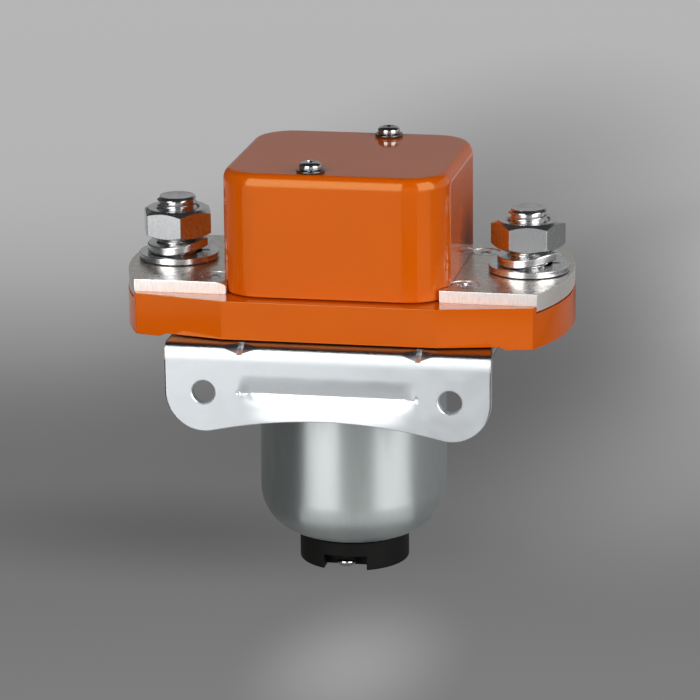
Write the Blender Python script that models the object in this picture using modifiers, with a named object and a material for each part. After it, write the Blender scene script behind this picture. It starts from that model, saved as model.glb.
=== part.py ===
"""High voltage DC contactor.

A moulded base carries two copper terminal plates with M10 studs, under a moulded cover.
A solenoid in a drawn steel can hangs below it on a sheet bracket, and pulls a plunger
down. The plunger carries a contact bridge, which closes on the two plates' contacts.

The plunger moves along the Z axis. The origin is at the bottom centre of the terminal
cap, which the part stands on. X runs through the two studs, and the bracket faces -Y.
"""

import math

import bmesh
import bpy
from mathutils import Matrix, Vector

# Clearances
SEAT_GAP = 0.0003
STACK_GAP = 0.0002
SHUT_GAP = 0.0001

# Heights of the stack, from the foot up
CAP_HEIGHT = 0.0074
CAN_HEIGHT = 0.0529
BRACKET_SHEET = 0.0025
BASE_HEIGHT = 0.0096
POCKET_DEPTH = 0.0017
PLATE_THICKNESS = 0.0044
COVER_HEIGHT = 0.0305

# Terminal cap
CAP_RADIUS = 0.01374
CAP_FILLET = 0.0005
CAP_LIFT = 0.00025
NOTCH_WIDTH = 0.0108
NOTCH_HEIGHT = 0.0037
NOTCH_BACK = 0.0080
COIL_SCREW_Y = 0.0108
COIL_HEAD_RADIUS = 0.0026
COIL_HEAD_HEIGHT = 0.0018
COIL_SCREW_RADIUS = 0.0015
COIL_SCREW_LENGTH = 0.0034
TAB_THICKNESS = 0.0007
TAB_WIDTH = 0.0054
TAB_END_Y = 0.0063
PIN_RADIUS = 0.0007
PIN_Y = 0.0072
POST_RADIUS = 0.0019
POST_HEIGHT = 0.0040

# Drawn can
CAN_RADIUS = 0.02345
CAN_CORNER = 0.0121
CAN_SHEET = 0.0012

# Mounting bracket
BRACKET_INSET = 0.01575
BRACKET_FRONT = 0.0342
BRACKET_BACK = 0.0250
BEND_RADIUS = 0.00375
MOUNT_HOLE_INSET = 0.00945
MOUNT_HOLE_Z = 0.0511
MOUNT_HOLE_DIAMETER = 0.0058
LOBE_RADIUS = 0.0095
ARCH_Z = 0.0450
CREASE_INSET = 0.0094
CREASE_DEPTH = 0.0011
CREASE_FLANK = 0.0040
GUSSET_INSET = 0.0092
GUSSET_WIDTH = 0.0012
FLANGE_CORNER = 0.0050
FLANGE_BORE = 0.0045

# Moulded base
BASE_LENGTH = 0.1112
BASE_WIDTH = 0.0600
BASE_END_WIDTH = 0.0504
BASE_END_RADIUS = 0.0520
BASE_FLAT_LENGTH = 0.0530
BASE_EDGE = 0.0005
FOOT_STEP = 0.0008
FOOT_SLOPE = 0.0017
FOOT_LENGTH = 0.0144

# Terminal plates
PLATE_WIDTH = 0.0468
PLATE_END_INSET = 0.0002
SHOULDER_INSET = 0.0016
TONGUE_WIDTH = 0.0300
TONGUE_END_X = 0.0090
PLATE_SCREW_INSET = 0.0048
PLATE_SCREW_Y = 0.0165
PLATE_SCREW_RADIUS = 0.0020
PLATE_SCREW_HEAD = 0.0035
PLATE_SCREW_LENGTH = 0.0098
HEAD_RIM = 0.0003

# Studs and their hardware, M10
STUD_INSET = 0.0114
STUD_RADIUS = 0.0050
STUD_REACH = 0.01585
STUD_CHAMFER = 0.0009
STUD_HEAD_FLATS = 0.0160
STUD_HEAD_HEIGHT = 0.0046
HEAD_SINK = 0.0006
FLAT_WASHER_RADIUS = 0.0100
FLAT_WASHER_THICKNESS = 0.0015
HARDWARE_BORE = 0.0053
HARDWARE_OFFSET_X = 0.0003
SPRING_WASHER_RADIUS = 0.0079
SPRING_WASHER_SECTION = 0.0021
SPRING_WASHER_HEIGHT = 0.0037
SPRING_WASHER_SPLIT = 12.0
LEFT_SPLIT_TURN = 0.0
RIGHT_SPLIT_TURN = -13.0
NUT_FLATS = 0.0160
NUT_HEIGHT = 0.0071
NUT_CHAMFER = 30.0
LEFT_NUT_TURN = 17.6
RIGHT_NUT_TURN = 38.0

# Cover
COVER_SHARE = 0.5
COVER_WIDTH = 0.0526
COVER_CORNER = 0.0105
COVER_FILLET = 0.0022
COVER_WALL = 0.0026
COVER_SCREW_X = 0.0057
COVER_SCREW_INSET = 0.00515
COVER_POST_RADIUS = 0.0040
COVER_SCREW_RADIUS = 0.0015
COVER_SCREW_GRIP = 0.0068
COVER_HEAD_RADIUS = 0.0028
COVER_HEAD_HEIGHT = 0.0017
COVER_WASHER_RADIUS = 0.0035
COVER_WASHER_THICKNESS = 0.0005

# Solenoid
CORE_RADIUS = 0.0062
FIXED_CORE_HEIGHT = 0.0255
CORE_BOSS_RADIUS = 0.0048
PLUNGER_TRAVEL = 0.0042
SLEEVE_WALL = 0.0005
BOBBIN_WALL = 0.0010
BOBBIN_FLANGE = 0.0015
BOBBIN_LOWER_RADIUS = 0.0190
WINDING_DEPTH = 0.0100
YOKE_THICKNESS = 0.0028
SPRING_BORE = 0.0032
FIXED_BORE_DEPTH = 0.0120
PLUNGER_BORE_DEPTH = 0.0080
RETURN_SPRING_RADIUS = 0.00255
RETURN_SPRING_WIRE = 0.0003
RETURN_SPRING_TURNS = 9
CAP_SCREW_RADIUS = 0.0020
CAP_SCREW_HEAD = 0.0038
CAP_SCREW_DEPTH = 0.0050

# Moving contacts
SHAFT_RADIUS = 0.0020
SHAFT_BORE = 0.0023
COLLAR_RADIUS = 0.0042
COLLAR_HEIGHT = 0.0015
CONTACT_X = 0.0140
CONTACT_TRAVEL = 0.0030
FIXED_CONTACT_RADIUS = 0.0050
FIXED_CONTACT_HEIGHT = 0.0014
MOVING_CONTACT_RADIUS = 0.0045
MOVING_CONTACT_HEIGHT = 0.0016
BRIDGE_LENGTH = 0.0400
BRIDGE_WIDTH = 0.0130
BRIDGE_THICKNESS = 0.0030
BUSH_RADIUS = 0.0034
BUSH_FLANGE_RADIUS = 0.0055
BUSH_FLANGE_HEIGHT = 0.0010
CONTACT_SPRING_RADIUS = 0.0048
CONTACT_SPRING_WIRE = 0.0005
CONTACT_SPRING_HEIGHT = 0.0095
CONTACT_SPRING_TURNS = 5
SEAT_RADIUS = 0.0060
SEAT_THICKNESS = 0.0012
CLIP_RADIUS = 0.0036
CLIP_THICKNESS = 0.0008
CLIP_GROOVE = 0.0004
SHAFT_TIP = 0.0012

# Bracket screws, M4
BRACKET_SCREW_Y = 0.0080
BRACKET_SCREW_RADIUS = 0.0020
BRACKET_SCREW_HEAD = 0.0040
BRACKET_SCREW_HEAD_HEIGHT = 0.0024
BRACKET_SCREW_LENGTH = 0.0085

# Heights that follow from the sizes above
CAN_BOTTOM = CAP_HEIGHT
CAN_TOP = CAN_BOTTOM + CAN_HEIGHT
FLANGE_LOW = CAN_TOP + SEAT_GAP
FLANGE_TOP = FLANGE_LOW + BRACKET_SHEET
BASE_LOW = FLANGE_TOP + SEAT_GAP
BASE_FOOT = BASE_LOW - FOOT_STEP
BASE_TOP = BASE_LOW + BASE_HEIGHT
POCKET_FLOOR = BASE_TOP - POCKET_DEPTH
PLATE_LOW = POCKET_FLOOR + SEAT_GAP
PLATE_TOP = PLATE_LOW + PLATE_THICKNESS
COVER_LOW = BASE_TOP + SEAT_GAP
COVER_TOP = COVER_LOW + COVER_HEIGHT
FLAT_WASHER_LOW = PLATE_TOP + STACK_GAP
SPRING_WASHER_LOW = FLAT_WASHER_LOW + FLAT_WASHER_THICKNESS + STACK_GAP
NUT_LOW = SPRING_WASHER_LOW + SPRING_WASHER_HEIGHT + STACK_GAP
CAN_FLOOR = CAN_BOTTOM + CAN_SHEET
FIXED_CORE_LOW = CAN_FLOOR + SEAT_GAP
FIXED_CORE_TOP = FIXED_CORE_LOW + FIXED_CORE_HEIGHT
YOKE_TOP = CAN_TOP - SEAT_GAP
YOKE_LOW = YOKE_TOP - YOKE_THICKNESS
PLUNGER_LOW = FIXED_CORE_TOP + PLUNGER_TRAVEL + SHUT_GAP
PLUNGER_TOP = FLANGE_LOW - SEAT_GAP
FIXED_CONTACT_LOW = PLATE_TOP + SEAT_GAP
FIXED_CONTACT_TOP = FIXED_CONTACT_LOW + FIXED_CONTACT_HEIGHT
MOVING_CONTACT_LOW = FIXED_CONTACT_TOP + CONTACT_TRAVEL + SHUT_GAP
BRIDGE_LOW = MOVING_CONTACT_LOW + MOVING_CONTACT_HEIGHT + SEAT_GAP
BRIDGE_TOP = BRIDGE_LOW + BRIDGE_THICKNESS
COLLAR_TOP = BRIDGE_LOW - 2 * SEAT_GAP - BUSH_FLANGE_HEIGHT
CONTACT_SPRING_LOW = BRIDGE_TOP + SEAT_GAP
SEAT_LOW = CONTACT_SPRING_LOW + CONTACT_SPRING_HEIGHT + SEAT_GAP
CLIP_LOW = SEAT_LOW + SEAT_THICKNESS + SEAT_GAP
SHAFT_TOP = CLIP_LOW + CLIP_THICKNESS + SHAFT_TIP

# Places along X that follow
COVER_LENGTH = COVER_SHARE * BASE_LENGTH
STUD_X = BASE_LENGTH / 2 - STUD_INSET
SHOULDER_X = COVER_LENGTH / 2 - SHOULDER_INSET
PLATE_SCREW_X = SHOULDER_X + PLATE_SCREW_INSET
FOOT_INNER_X = BASE_LENGTH / 2 - FOOT_LENGTH
BRACKET_SCREW_X = (CAN_RADIUS + FOOT_INNER_X) / 2
BRACKET_WIDTH = BASE_LENGTH - 2 * BRACKET_INSET
MOUNT_HOLE_X = BRACKET_WIDTH / 2 - MOUNT_HOLE_INSET
CREASE_LENGTH = 2 * (MOUNT_HOLE_X - CREASE_INSET)
GUSSET_X = MOUNT_HOLE_X - GUSSET_INSET

# Places along Y that follow
COVER_SCREW_Y = COVER_WIDTH / 2 - COVER_SCREW_INSET

# Radii that follow
SLEEVE_BORE = CORE_RADIUS + SEAT_GAP
SLEEVE_RADIUS = SLEEVE_BORE + SLEEVE_WALL
BOBBIN_BORE = SLEEVE_RADIUS + SEAT_GAP
BOBBIN_TUBE = BOBBIN_BORE + BOBBIN_WALL
CAN_INNER = CAN_RADIUS - CAN_SHEET

SIDES = (("left", -1), ("right", 1))
ENDS = (("front", -1), ("back", 1))
ROUND = 48
SMALL_ROUND = 20


def start_scene():
    """Empty the scene and add the collections for the pieces and their cutters."""
    for old in list(bpy.data.objects):
        bpy.data.objects.remove(old, do_unlink=True)
    groups = {}
    for name in ("dc_contactor", "cutters"):
        group = bpy.data.collections.new(name)
        bpy.context.scene.collection.children.link(group)
        groups[name] = group
    return groups["dc_contactor"], groups["cutters"]


PIECES, CUTTERS = start_scene()


def finish(name, color, metallic, roughness):
    """A plain Principled material."""
    material = bpy.data.materials.new(name)
    material.use_nodes = True
    material.diffuse_color = (*color, 1.0)
    shader = material.node_tree.nodes["Principled BSDF"]
    shader.inputs["Base Color"].default_value = (*color, 1.0)
    shader.inputs["Metallic"].default_value = metallic
    shader.inputs["Roughness"].default_value = roughness
    return material


ORANGE = finish("orange_moulding", (0.63, 0.13, 0.008), 0.0, 0.15)
TINNED = finish("tinned_copper", (0.70, 0.66, 0.61), 1.0, 0.35)
PLATED = finish("bright_plated_steel", (0.72, 0.74, 0.75), 1.0, 0.15)
ZINC = finish("satin_zinc_sheet", (0.66, 0.71, 0.74), 1.0, 0.35)
CAN_ZINC = finish("satin_zinc_can", (0.50, 0.54, 0.54), 1.0, 0.40)
BLACK = finish("black_moulding", (0.012, 0.012, 0.011), 0.0, 0.45)
COPPER = finish("copper", (0.72, 0.33, 0.18), 1.0, 0.35)
SILVER = finish("silver_contact", (0.80, 0.79, 0.75), 1.0, 0.30)
BRASS = finish("brass", (0.70, 0.50, 0.20), 1.0, 0.30)
IRON = finish("soft_iron", (0.35, 0.35, 0.36), 1.0, 0.45)
STEEL = finish("spring_steel", (0.45, 0.46, 0.47), 1.0, 0.30)
NYLON = finish("natural_nylon", (0.75, 0.72, 0.62), 0.0, 0.45)


def place(name, mesh, look):
    """Link a mesh as a piece of the contactor, or as a cutter when it has no look."""
    piece = bpy.data.objects.new(name, mesh)
    if look is None:
        piece.hide_render = True
        piece.display_type = "WIRE"
        CUTTERS.objects.link(piece)
    else:
        mesh.materials.append(look)
        PIECES.objects.link(piece)
    return piece


def from_bmesh(name, bm, look=None):
    mesh = bpy.data.meshes.new(name)
    bm.to_mesh(mesh)
    bm.free()
    return place(name, mesh, look)


def box(name, low, high, look=None):
    """A box between two opposite corners."""
    corners = list(zip(low, high))
    low, high = Vector([min(pair) for pair in corners]), Vector([max(pair) for pair in corners])
    bm = bmesh.new()
    size = Matrix.Diagonal((*(high - low), 1.0))
    bmesh.ops.create_cube(bm, size=1.0, matrix=Matrix.Translation((low + high) / 2) @ size)
    return from_bmesh(name, bm, look)


def cylinder(name, radius, low, high, at=(0.0, 0.0), look=None, sides=SMALL_ROUND):
    """An upright cylinder or, with few sides, an upright prism."""
    bm = bmesh.new()
    middle = Matrix.Translation((at[0], at[1], (low + high) / 2))
    bmesh.ops.create_cone(bm, cap_ends=True, segments=sides, radius1=radius, radius2=radius,
                          depth=high - low, matrix=middle)
    return from_bmesh(name, bm, look)


def hexagon(name, flats, low, high, at, turn, look=None):
    """A hexagonal prism whose first corner points turn degrees from -Y towards +X."""
    piece = cylinder(name, flats / math.sqrt(3.0), low, high, look=look, sides=6)
    piece.data.transform(Matrix.Rotation(math.radians(turn), 4, "Z"))
    piece.location = (at[0], at[1], 0.0)
    return piece


def turned(name, profile, look=None, at=(0.0, 0.0), steps=ROUND):
    """A (radius, height) profile swept round an upright axis, outer side top to bottom.

    A ring's profile closes on itself. A solid's starts and ends on the axis.
    """
    points = [(radius, 0.0, height) for radius, height in profile]
    edges = [(i, i + 1) for i in range(len(points) - 1)]
    if profile[0][0] > 0.0:
        edges.append((len(points) - 1, 0))
    mesh = bpy.data.meshes.new(name)
    mesh.from_pydata(points, edges, [])
    piece = place(name, mesh, look)
    piece.location = (at[0], at[1], 0.0)
    screw = piece.modifiers.new("Turn", "SCREW")
    screw.steps = screw.render_steps = steps
    screw.use_merge_vertices = True
    screw.merge_threshold = 0.00001
    screw.use_smooth_shade = True
    return piece


def ring(name, inner, outer, low, high, look, at=(0.0, 0.0), steps=ROUND):
    """A plain washer or tube."""
    profile = [(outer, high), (outer, low), (inner, low), (inner, high)]
    return turned(name, profile, look, at, steps)


def mesh_from_curve(drawn, look):
    """Replace a filled curve by its welded mesh."""
    bpy.context.view_layer.update()
    evaluated = drawn.evaluated_get(bpy.context.evaluated_depsgraph_get())
    mesh = bpy.data.meshes.new_from_object(evaluated)
    mesh.materials.clear()
    bm = bmesh.new()
    bm.from_mesh(mesh)
    bmesh.ops.remove_doubles(bm, verts=bm.verts, dist=0.000005)
    bmesh.ops.dissolve_limit(bm, angle_limit=0.001, verts=bm.verts, edges=bm.edges)
    bmesh.ops.recalc_face_normals(bm, faces=bm.faces)
    bm.to_mesh(mesh)
    bm.free()
    piece = place(drawn.name + "_solid", mesh, look)
    piece.matrix_world = drawn.matrix_world
    name = drawn.name
    bpy.data.objects.remove(drawn, do_unlink=True)
    piece.name = name
    return piece


def prism(name, outline, low, high, look=None):
    """A flat outline in XY, extruded from low to high along Z."""
    curve = bpy.data.curves.new(name, "CURVE")
    curve.dimensions = "2D"
    curve.fill_mode = "BOTH"
    curve.extrude = (high - low) / 2
    spline = curve.splines.new("POLY")
    spline.points.add(len(outline) - 1)
    for point, (x, y) in zip(spline.points, outline):
        point.co = (x, y, 0.0, 1.0)
    spline.use_cyclic_u = True
    drawn = bpy.data.objects.new(name, curve)
    drawn.location.z = (low + high) / 2
    CUTTERS.objects.link(drawn)
    return mesh_from_curve(drawn, look)


def upright(piece, axis):
    """Turn a prism so that its outline stands in the XZ plane (Y) or the YZ plane (X)."""
    turns = {
        "Y": Matrix(((1, 0, 0, 0), (0, 0, -1, 0), (0, 1, 0, 0), (0, 0, 0, 1))),
        "X": Matrix(((0, 0, 1, 0), (1, 0, 0, 0), (0, 1, 0, 0), (0, 0, 0, 1))),
    }
    piece.data.transform(piece.matrix_world)
    piece.matrix_world = Matrix.Identity(4)
    piece.data.transform(turns[axis])
    return piece


def arc(center, radius, start, end, steps):
    """Points along an arc, by angles in degrees."""
    points = []
    for i in range(steps + 1):
        angle = math.radians(start + (end - start) * i / steps)
        points.append((center[0] + radius * math.cos(angle), center[1] + radius * math.sin(angle)))
    return points


def rounded_rectangle(half_x, half_y, radius, steps=8):
    inner_x, inner_y = half_x - radius, half_y - radius
    corners = ((inner_x, inner_y, 0), (-inner_x, inner_y, 90),
               (-inner_x, -inner_y, 180), (inner_x, -inner_y, 270))
    points = []
    for x, y, start in corners:
        points += arc((x, y), radius, start, start + 90, steps)
    return points


def combine(piece, operation, tools):
    for tool in tools:
        step = piece.modifiers.new(operation.title(), "BOOLEAN")
        step.operation = operation
        step.solver = "EXACT"
        step.object = tool
    return piece


def cut(piece, *tools):
    return combine(piece, "DIFFERENCE", tools)


def join(piece, *tools):
    return combine(piece, "UNION", tools)


def soften(piece, width, segments=2):
    """Round the sharp edges that the piece has so far."""
    bevel = piece.modifiers.new("Edges", "BEVEL")
    bevel.width = width
    bevel.segments = segments
    bevel.limit_method = "ANGLE"
    bevel.angle_limit = math.radians(30)
    return piece


def coil_spring(name, radius, wire, low, high, turns, look):
    """A compression spring whose first and last half turns lie flat."""
    steps = 12 * turns
    flat = 6
    rise = high - low - 2 * wire
    curve = bpy.data.curves.new(name, "CURVE")
    curve.dimensions = "3D"
    curve.bevel_depth = wire
    curve.bevel_resolution = 2
    curve.use_fill_caps = True
    spline = curve.splines.new("POLY")
    spline.points.add(steps)
    for i, point in enumerate(spline.points):
        angle = 2 * math.pi * i / 12
        climb = min(max(i - flat, 0) / (steps - 2 * flat), 1.0)
        point.co = (radius * math.cos(angle), radius * math.sin(angle),
                    low + wire + rise * climb, 1.0)
    curve.materials.append(look)
    piece = bpy.data.objects.new(name, curve)
    PIECES.objects.link(piece)
    return piece


def end_arc(half_width, inset, steps):
    """The rounded end on the +X side, from the front corner to the back one."""
    radius = BASE_END_RADIUS - inset
    center = BASE_LENGTH / 2 - BASE_END_RADIUS
    sweep = math.degrees(math.asin(half_width / radius))
    return arc((center, 0.0), radius, -sweep, sweep, steps)


def base_outline():
    """Flat front and back, tapered towards the rounded ends."""
    right = end_arc(BASE_END_WIDTH / 2, 0.0, 16)
    left = [(-x, -y) for x, y in right]
    flat, side = BASE_FLAT_LENGTH / 2, BASE_WIDTH / 2
    return [(flat, -side), *right, (flat, side), (-flat, side), *left, (-flat, -side)]


def plate_outline(side, grow=0.0, open_end=False):
    """A terminal plate: wide outside the cover, with a narrower tongue inside it."""
    half, tongue = PLATE_WIDTH / 2 + grow, TONGUE_WIDTH / 2 + grow
    shoulder, inner = SHOULDER_X - grow, TONGUE_END_X - grow
    end = end_arc(half, PLATE_END_INSET - grow, 16)
    if open_end:
        end = [(BASE_LENGTH, -half), (BASE_LENGTH, half)]
    points = [(inner, -tongue), (shoulder, -tongue), (shoulder, -half), *end,
              (shoulder, half), (shoulder, tongue), (inner, tongue)]
    return [(side * x, side * y) for x, y in points]


def stud_axis(side):
    return (side * STUD_X, 0.0)


def plate_screw_axes(side):
    return [(side * PLATE_SCREW_X, end * PLATE_SCREW_Y) for _, end in ENDS]


def cover_screw_axis(end):
    return (end * COVER_SCREW_X, end * COVER_SCREW_Y)


def bracket_screw_axes():
    return [(side * BRACKET_SCREW_X, end * BRACKET_SCREW_Y) for _, side in SIDES for _, end in ENDS]


def make_base():
    """The moulded base with its plate pockets, stud seats, screw holes and underside step."""
    base = prism("base", base_outline(), BASE_FOOT, BASE_TOP, ORANGE)
    soften(base, BASE_EDGE)

    step = [(-FOOT_INNER_X, BASE_LOW), (-FOOT_INNER_X - 2 * FOOT_SLOPE, BASE_LOW - 2 * FOOT_STEP),
            (FOOT_INNER_X + 2 * FOOT_SLOPE, BASE_LOW - 2 * FOOT_STEP), (FOOT_INNER_X, BASE_LOW)]
    cut(base, upright(prism("foot_step", step, -BASE_WIDTH, BASE_WIDTH), "Y"))

    for name, side in SIDES:
        pocket = prism("pocket_" + name, plate_outline(side, STACK_GAP, True), POCKET_FLOOR,
                       BASE_TOP + PLATE_THICKNESS)
        stud_hole = cylinder("stud_hole_" + name, HARDWARE_BORE, BASE_FOOT - SEAT_GAP, PLATE_TOP,
                             stud_axis(side), sides=ROUND)
        seat = hexagon("head_seat_" + name, STUD_HEAD_FLATS + 2 * SEAT_GAP, BASE_FOOT - SEAT_GAP,
                       BASE_FOOT + HEAD_SINK + STUD_HEAD_HEIGHT + SEAT_GAP, stud_axis(side), 0.0)
        cut(base, pocket, stud_hole, seat)
        for end, axis in zip(ENDS, plate_screw_axes(side)):
            depth = PLATE_TOP - PLATE_SCREW_LENGTH - 2 * SEAT_GAP
            cut(base, cylinder("plate_screw_hole_%s_%s" % (name, end[0]),
                               PLATE_SCREW_RADIUS + SEAT_GAP, depth, PLATE_TOP, axis))

    for name, end in ENDS:
        floor = BASE_TOP - COVER_SCREW_GRIP - SEAT_GAP
        cut(base, cylinder("cover_screw_hole_" + name, COVER_SCREW_RADIUS + SEAT_GAP, floor,
                           PLATE_TOP, cover_screw_axis(end)))
    for number, axis in enumerate(bracket_screw_axes(), 1):
        top = FLANGE_LOW - SEAT_GAP + BRACKET_SCREW_LENGTH + SEAT_GAP
        cut(base, cylinder("bracket_screw_hole_%d" % number, BRACKET_SCREW_RADIUS + SEAT_GAP,
                           BASE_FOOT - SEAT_GAP, top, axis))
    cut(base, cylinder("shaft_hole", SHAFT_BORE, BASE_FOOT - SEAT_GAP, PLATE_TOP))
    return base


def rounded_block(name, half_x, half_y, corner, low, high, fillet, look=None):
    """A block with round upright corners and a fillet round its top."""
    bm = bmesh.new()
    outline = rounded_rectangle(half_x, half_y, corner)
    floor = bm.faces.new([bm.verts.new((x, y, low)) for x, y in outline])
    walls = bmesh.ops.extrude_face_region(bm, geom=[floor], use_keep_orig=True)
    raised = [v for v in walls["geom"] if isinstance(v, bmesh.types.BMVert)]
    bmesh.ops.translate(bm, verts=raised, vec=(0.0, 0.0, high - low))
    middle = (low + high) / 2
    top_edges = [e for e in bm.edges if all(v.co.z > middle for v in e.verts)]
    bmesh.ops.bevel(bm, geom=top_edges, offset=fillet, segments=5, profile=0.5, affect="EDGES")
    bmesh.ops.recalc_face_normals(bm, faces=bm.faces)
    return from_bmesh(name, bm, look)


def make_cover():
    """The moulded cover: a shell with two screw posts and a slot over each plate."""
    half_x, half_y = COVER_LENGTH / 2, COVER_WIDTH / 2
    cover = rounded_block("cover", half_x, half_y, COVER_CORNER, COVER_LOW, COVER_TOP,
                          COVER_FILLET, ORANGE)
    hollow = rounded_block("cover_hollow", half_x - COVER_WALL, half_y - COVER_WALL,
                           COVER_CORNER - COVER_WALL, BASE_LOW, COVER_TOP - COVER_WALL,
                           COVER_FILLET / 2)
    cut(cover, hollow)

    for name, end in ENDS:
        axis = cover_screw_axis(end)
        inside = COVER_TOP - COVER_WALL / 2
        post = cylinder("cover_post_" + name, COVER_POST_RADIUS, COVER_LOW, inside, axis)
        lug = box("cover_post_web_" + name,
                  (axis[0] - COVER_POST_RADIUS, end * COVER_SCREW_Y, COVER_LOW),
                  (axis[0] + COVER_POST_RADIUS, end * (COVER_WIDTH - COVER_WALL) / 2, inside))
        join(cover, post, lug)
        cut(cover, cylinder("cover_post_hole_" + name, COVER_SCREW_RADIUS + SEAT_GAP,
                            BASE_LOW, COVER_TOP + SEAT_GAP, axis))
    for name, side in SIDES:
        cut(cover, prism("plate_slot_" + name, plate_outline(side, SEAT_GAP), BASE_LOW,
                         PLATE_TOP + SEAT_GAP))
    return cover


def make_plate(name, side):
    """A tinned copper terminal plate with a stud hole and two countersunk screw holes."""
    plate = prism("terminal_plate_" + name, plate_outline(side), PLATE_LOW, PLATE_TOP, TINNED)
    cut(plate, cylinder("plate_stud_hole_" + name, HARDWARE_BORE, PLATE_LOW - SEAT_GAP,
                        PLATE_TOP + SEAT_GAP, stud_axis(side), sides=ROUND))
    for end, axis in zip(ENDS, plate_screw_axes(side)):
        hole = PLATE_SCREW_RADIUS + SEAT_GAP
        mouth = PLATE_SCREW_HEAD + SEAT_GAP
        above = PLATE_TOP + SEAT_GAP
        slope = PLATE_TOP - HEAD_RIM - SEAT_GAP
        profile = [(0.0, above), (mouth, above), (mouth, slope), (hole, slope - mouth + hole),
                   (hole, PLATE_LOW - SEAT_GAP), (0.0, PLATE_LOW - SEAT_GAP)]
        cut(plate, turned("countersink_%s_%s" % (name, end[0]), profile, None, axis, SMALL_ROUND))
    return plate


def make_plate_screws(name, side):
    for end, axis in zip(ENDS, plate_screw_axes(side)):
        top = PLATE_TOP - SHUT_GAP
        slope = top - HEAD_RIM
        shank = slope - (PLATE_SCREW_HEAD - PLATE_SCREW_RADIUS)
        tip = PLATE_TOP - PLATE_SCREW_LENGTH
        profile = [(0.0, top), (PLATE_SCREW_HEAD, top), (PLATE_SCREW_HEAD, slope),
                   (PLATE_SCREW_RADIUS, shank), (PLATE_SCREW_RADIUS, tip), (0.0, tip)]
        turned("plate_screw_%s_%s" % (name, end[0]), profile, PLATED, axis, SMALL_ROUND)


def make_stud(name, side):
    """An M10 stud with a hexagonal head that the base keeps from turning."""
    low = BASE_FOOT + HEAD_SINK
    shoulder = low + STUD_HEAD_HEIGHT
    stud = hexagon("stud_" + name, STUD_HEAD_FLATS, low, shoulder, stud_axis(side), 0.0, PLATED)
    top = PLATE_TOP + STUD_REACH
    profile = [(0.0, top), (STUD_RADIUS - STUD_CHAMFER, top), (STUD_RADIUS, top - STUD_CHAMFER),
               (STUD_RADIUS, shoulder - STUD_HEAD_HEIGHT / 2), (0.0, shoulder - STUD_HEAD_HEIGHT / 2)]
    join(stud, turned("stud_shank_" + name, profile, None, stud_axis(side), ROUND))
    return stud


def make_spring_washer(name, side, start_angle):
    """A split spring washer: a square section that climbs as it goes round."""
    split = math.radians(SPRING_WASHER_SPLIT)
    steps = 36
    climb = SPRING_WASHER_HEIGHT - SPRING_WASHER_SECTION
    bore = HARDWARE_BORE + HARDWARE_OFFSET_X
    bm = bmesh.new()
    corners = [(bore, 0.0), (SPRING_WASHER_RADIUS, 0.0),
               (SPRING_WASHER_RADIUS, SPRING_WASHER_SECTION), (bore, SPRING_WASHER_SECTION)]
    start = bm.faces.new([bm.verts.new((r, 0.0, SPRING_WASHER_LOW + h)) for r, h in corners])
    bmesh.ops.spin(bm, geom=[start, *start.edges, *start.verts], cent=(0, 0, 0), axis=(0, 0, 1),
                   dvec=(0.0, 0.0, climb / steps), angle=2 * math.pi - split, steps=steps)
    bmesh.ops.remove_doubles(bm, verts=bm.verts, dist=0.000001)
    bmesh.ops.recalc_face_normals(bm, faces=bm.faces)
    washer = from_bmesh("spring_washer_" + name, bm, PLATED)
    washer.data.transform(Matrix.Rotation(math.radians(start_angle), 4, "Z"))
    axis = stud_axis(side)
    washer.location = (axis[0] + HARDWARE_OFFSET_X, axis[1], 0.0)
    return washer


def make_nut(name, side, turn):
    """A hexagonal nut, chamfered at both ends."""
    axis = stud_axis(side)
    top = NUT_LOW + NUT_HEIGHT
    nut = hexagon("nut_" + name, NUT_FLATS, NUT_LOW, top, axis, turn, PLATED)
    corner = NUT_FLATS / math.sqrt(3.0) + SEAT_GAP
    land = NUT_FLATS / 2 * 0.95
    drop = (corner - land) * math.tan(math.radians(NUT_CHAMFER))
    profile = [(0.0, top), (land, top), (corner, top - drop), (corner, NUT_LOW + drop),
               (land, NUT_LOW), (0.0, NUT_LOW)]
    combine(nut, "INTERSECT", [turned("nut_chamfer_" + name, profile, None, axis, ROUND)])
    cut(nut, cylinder("nut_bore_" + name, HARDWARE_BORE, NUT_LOW - SEAT_GAP, top + SEAT_GAP, axis,
                      sides=ROUND))
    return nut


def make_terminal(name, side, nut_turn, split_turn):
    """Everything that one terminal is made of."""
    make_plate(name, side)
    make_plate_screws(name, side)
    make_stud(name, side)
    axis = stud_axis(side)
    seated = (axis[0] + HARDWARE_OFFSET_X, axis[1])
    ring("flat_washer_" + name, HARDWARE_BORE + HARDWARE_OFFSET_X, FLAT_WASHER_RADIUS,
         FLAT_WASHER_LOW, FLAT_WASHER_LOW + FLAT_WASHER_THICKNESS, PLATED, seated)
    make_spring_washer(name, side, split_turn)
    make_nut(name, side, nut_turn)
    cylinder("fixed_contact_" + name, FIXED_CONTACT_RADIUS, FIXED_CONTACT_LOW, FIXED_CONTACT_TOP,
             (side * CONTACT_X, 0.0), SILVER)


def pan_head(radius, low, height, steps=3):
    """A domed head's outer profile, from its top on the axis down to its rim."""
    crown = height * 0.55
    points = [(0.0, low + height)]
    for i in range(1, steps + 1):
        angle = math.pi / 2 * i / steps
        points.append((radius * (0.35 + 0.65 * math.sin(angle)),
                       low + height - crown * (1 - math.cos(angle))))
    points.append((radius, low))
    return points


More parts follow.
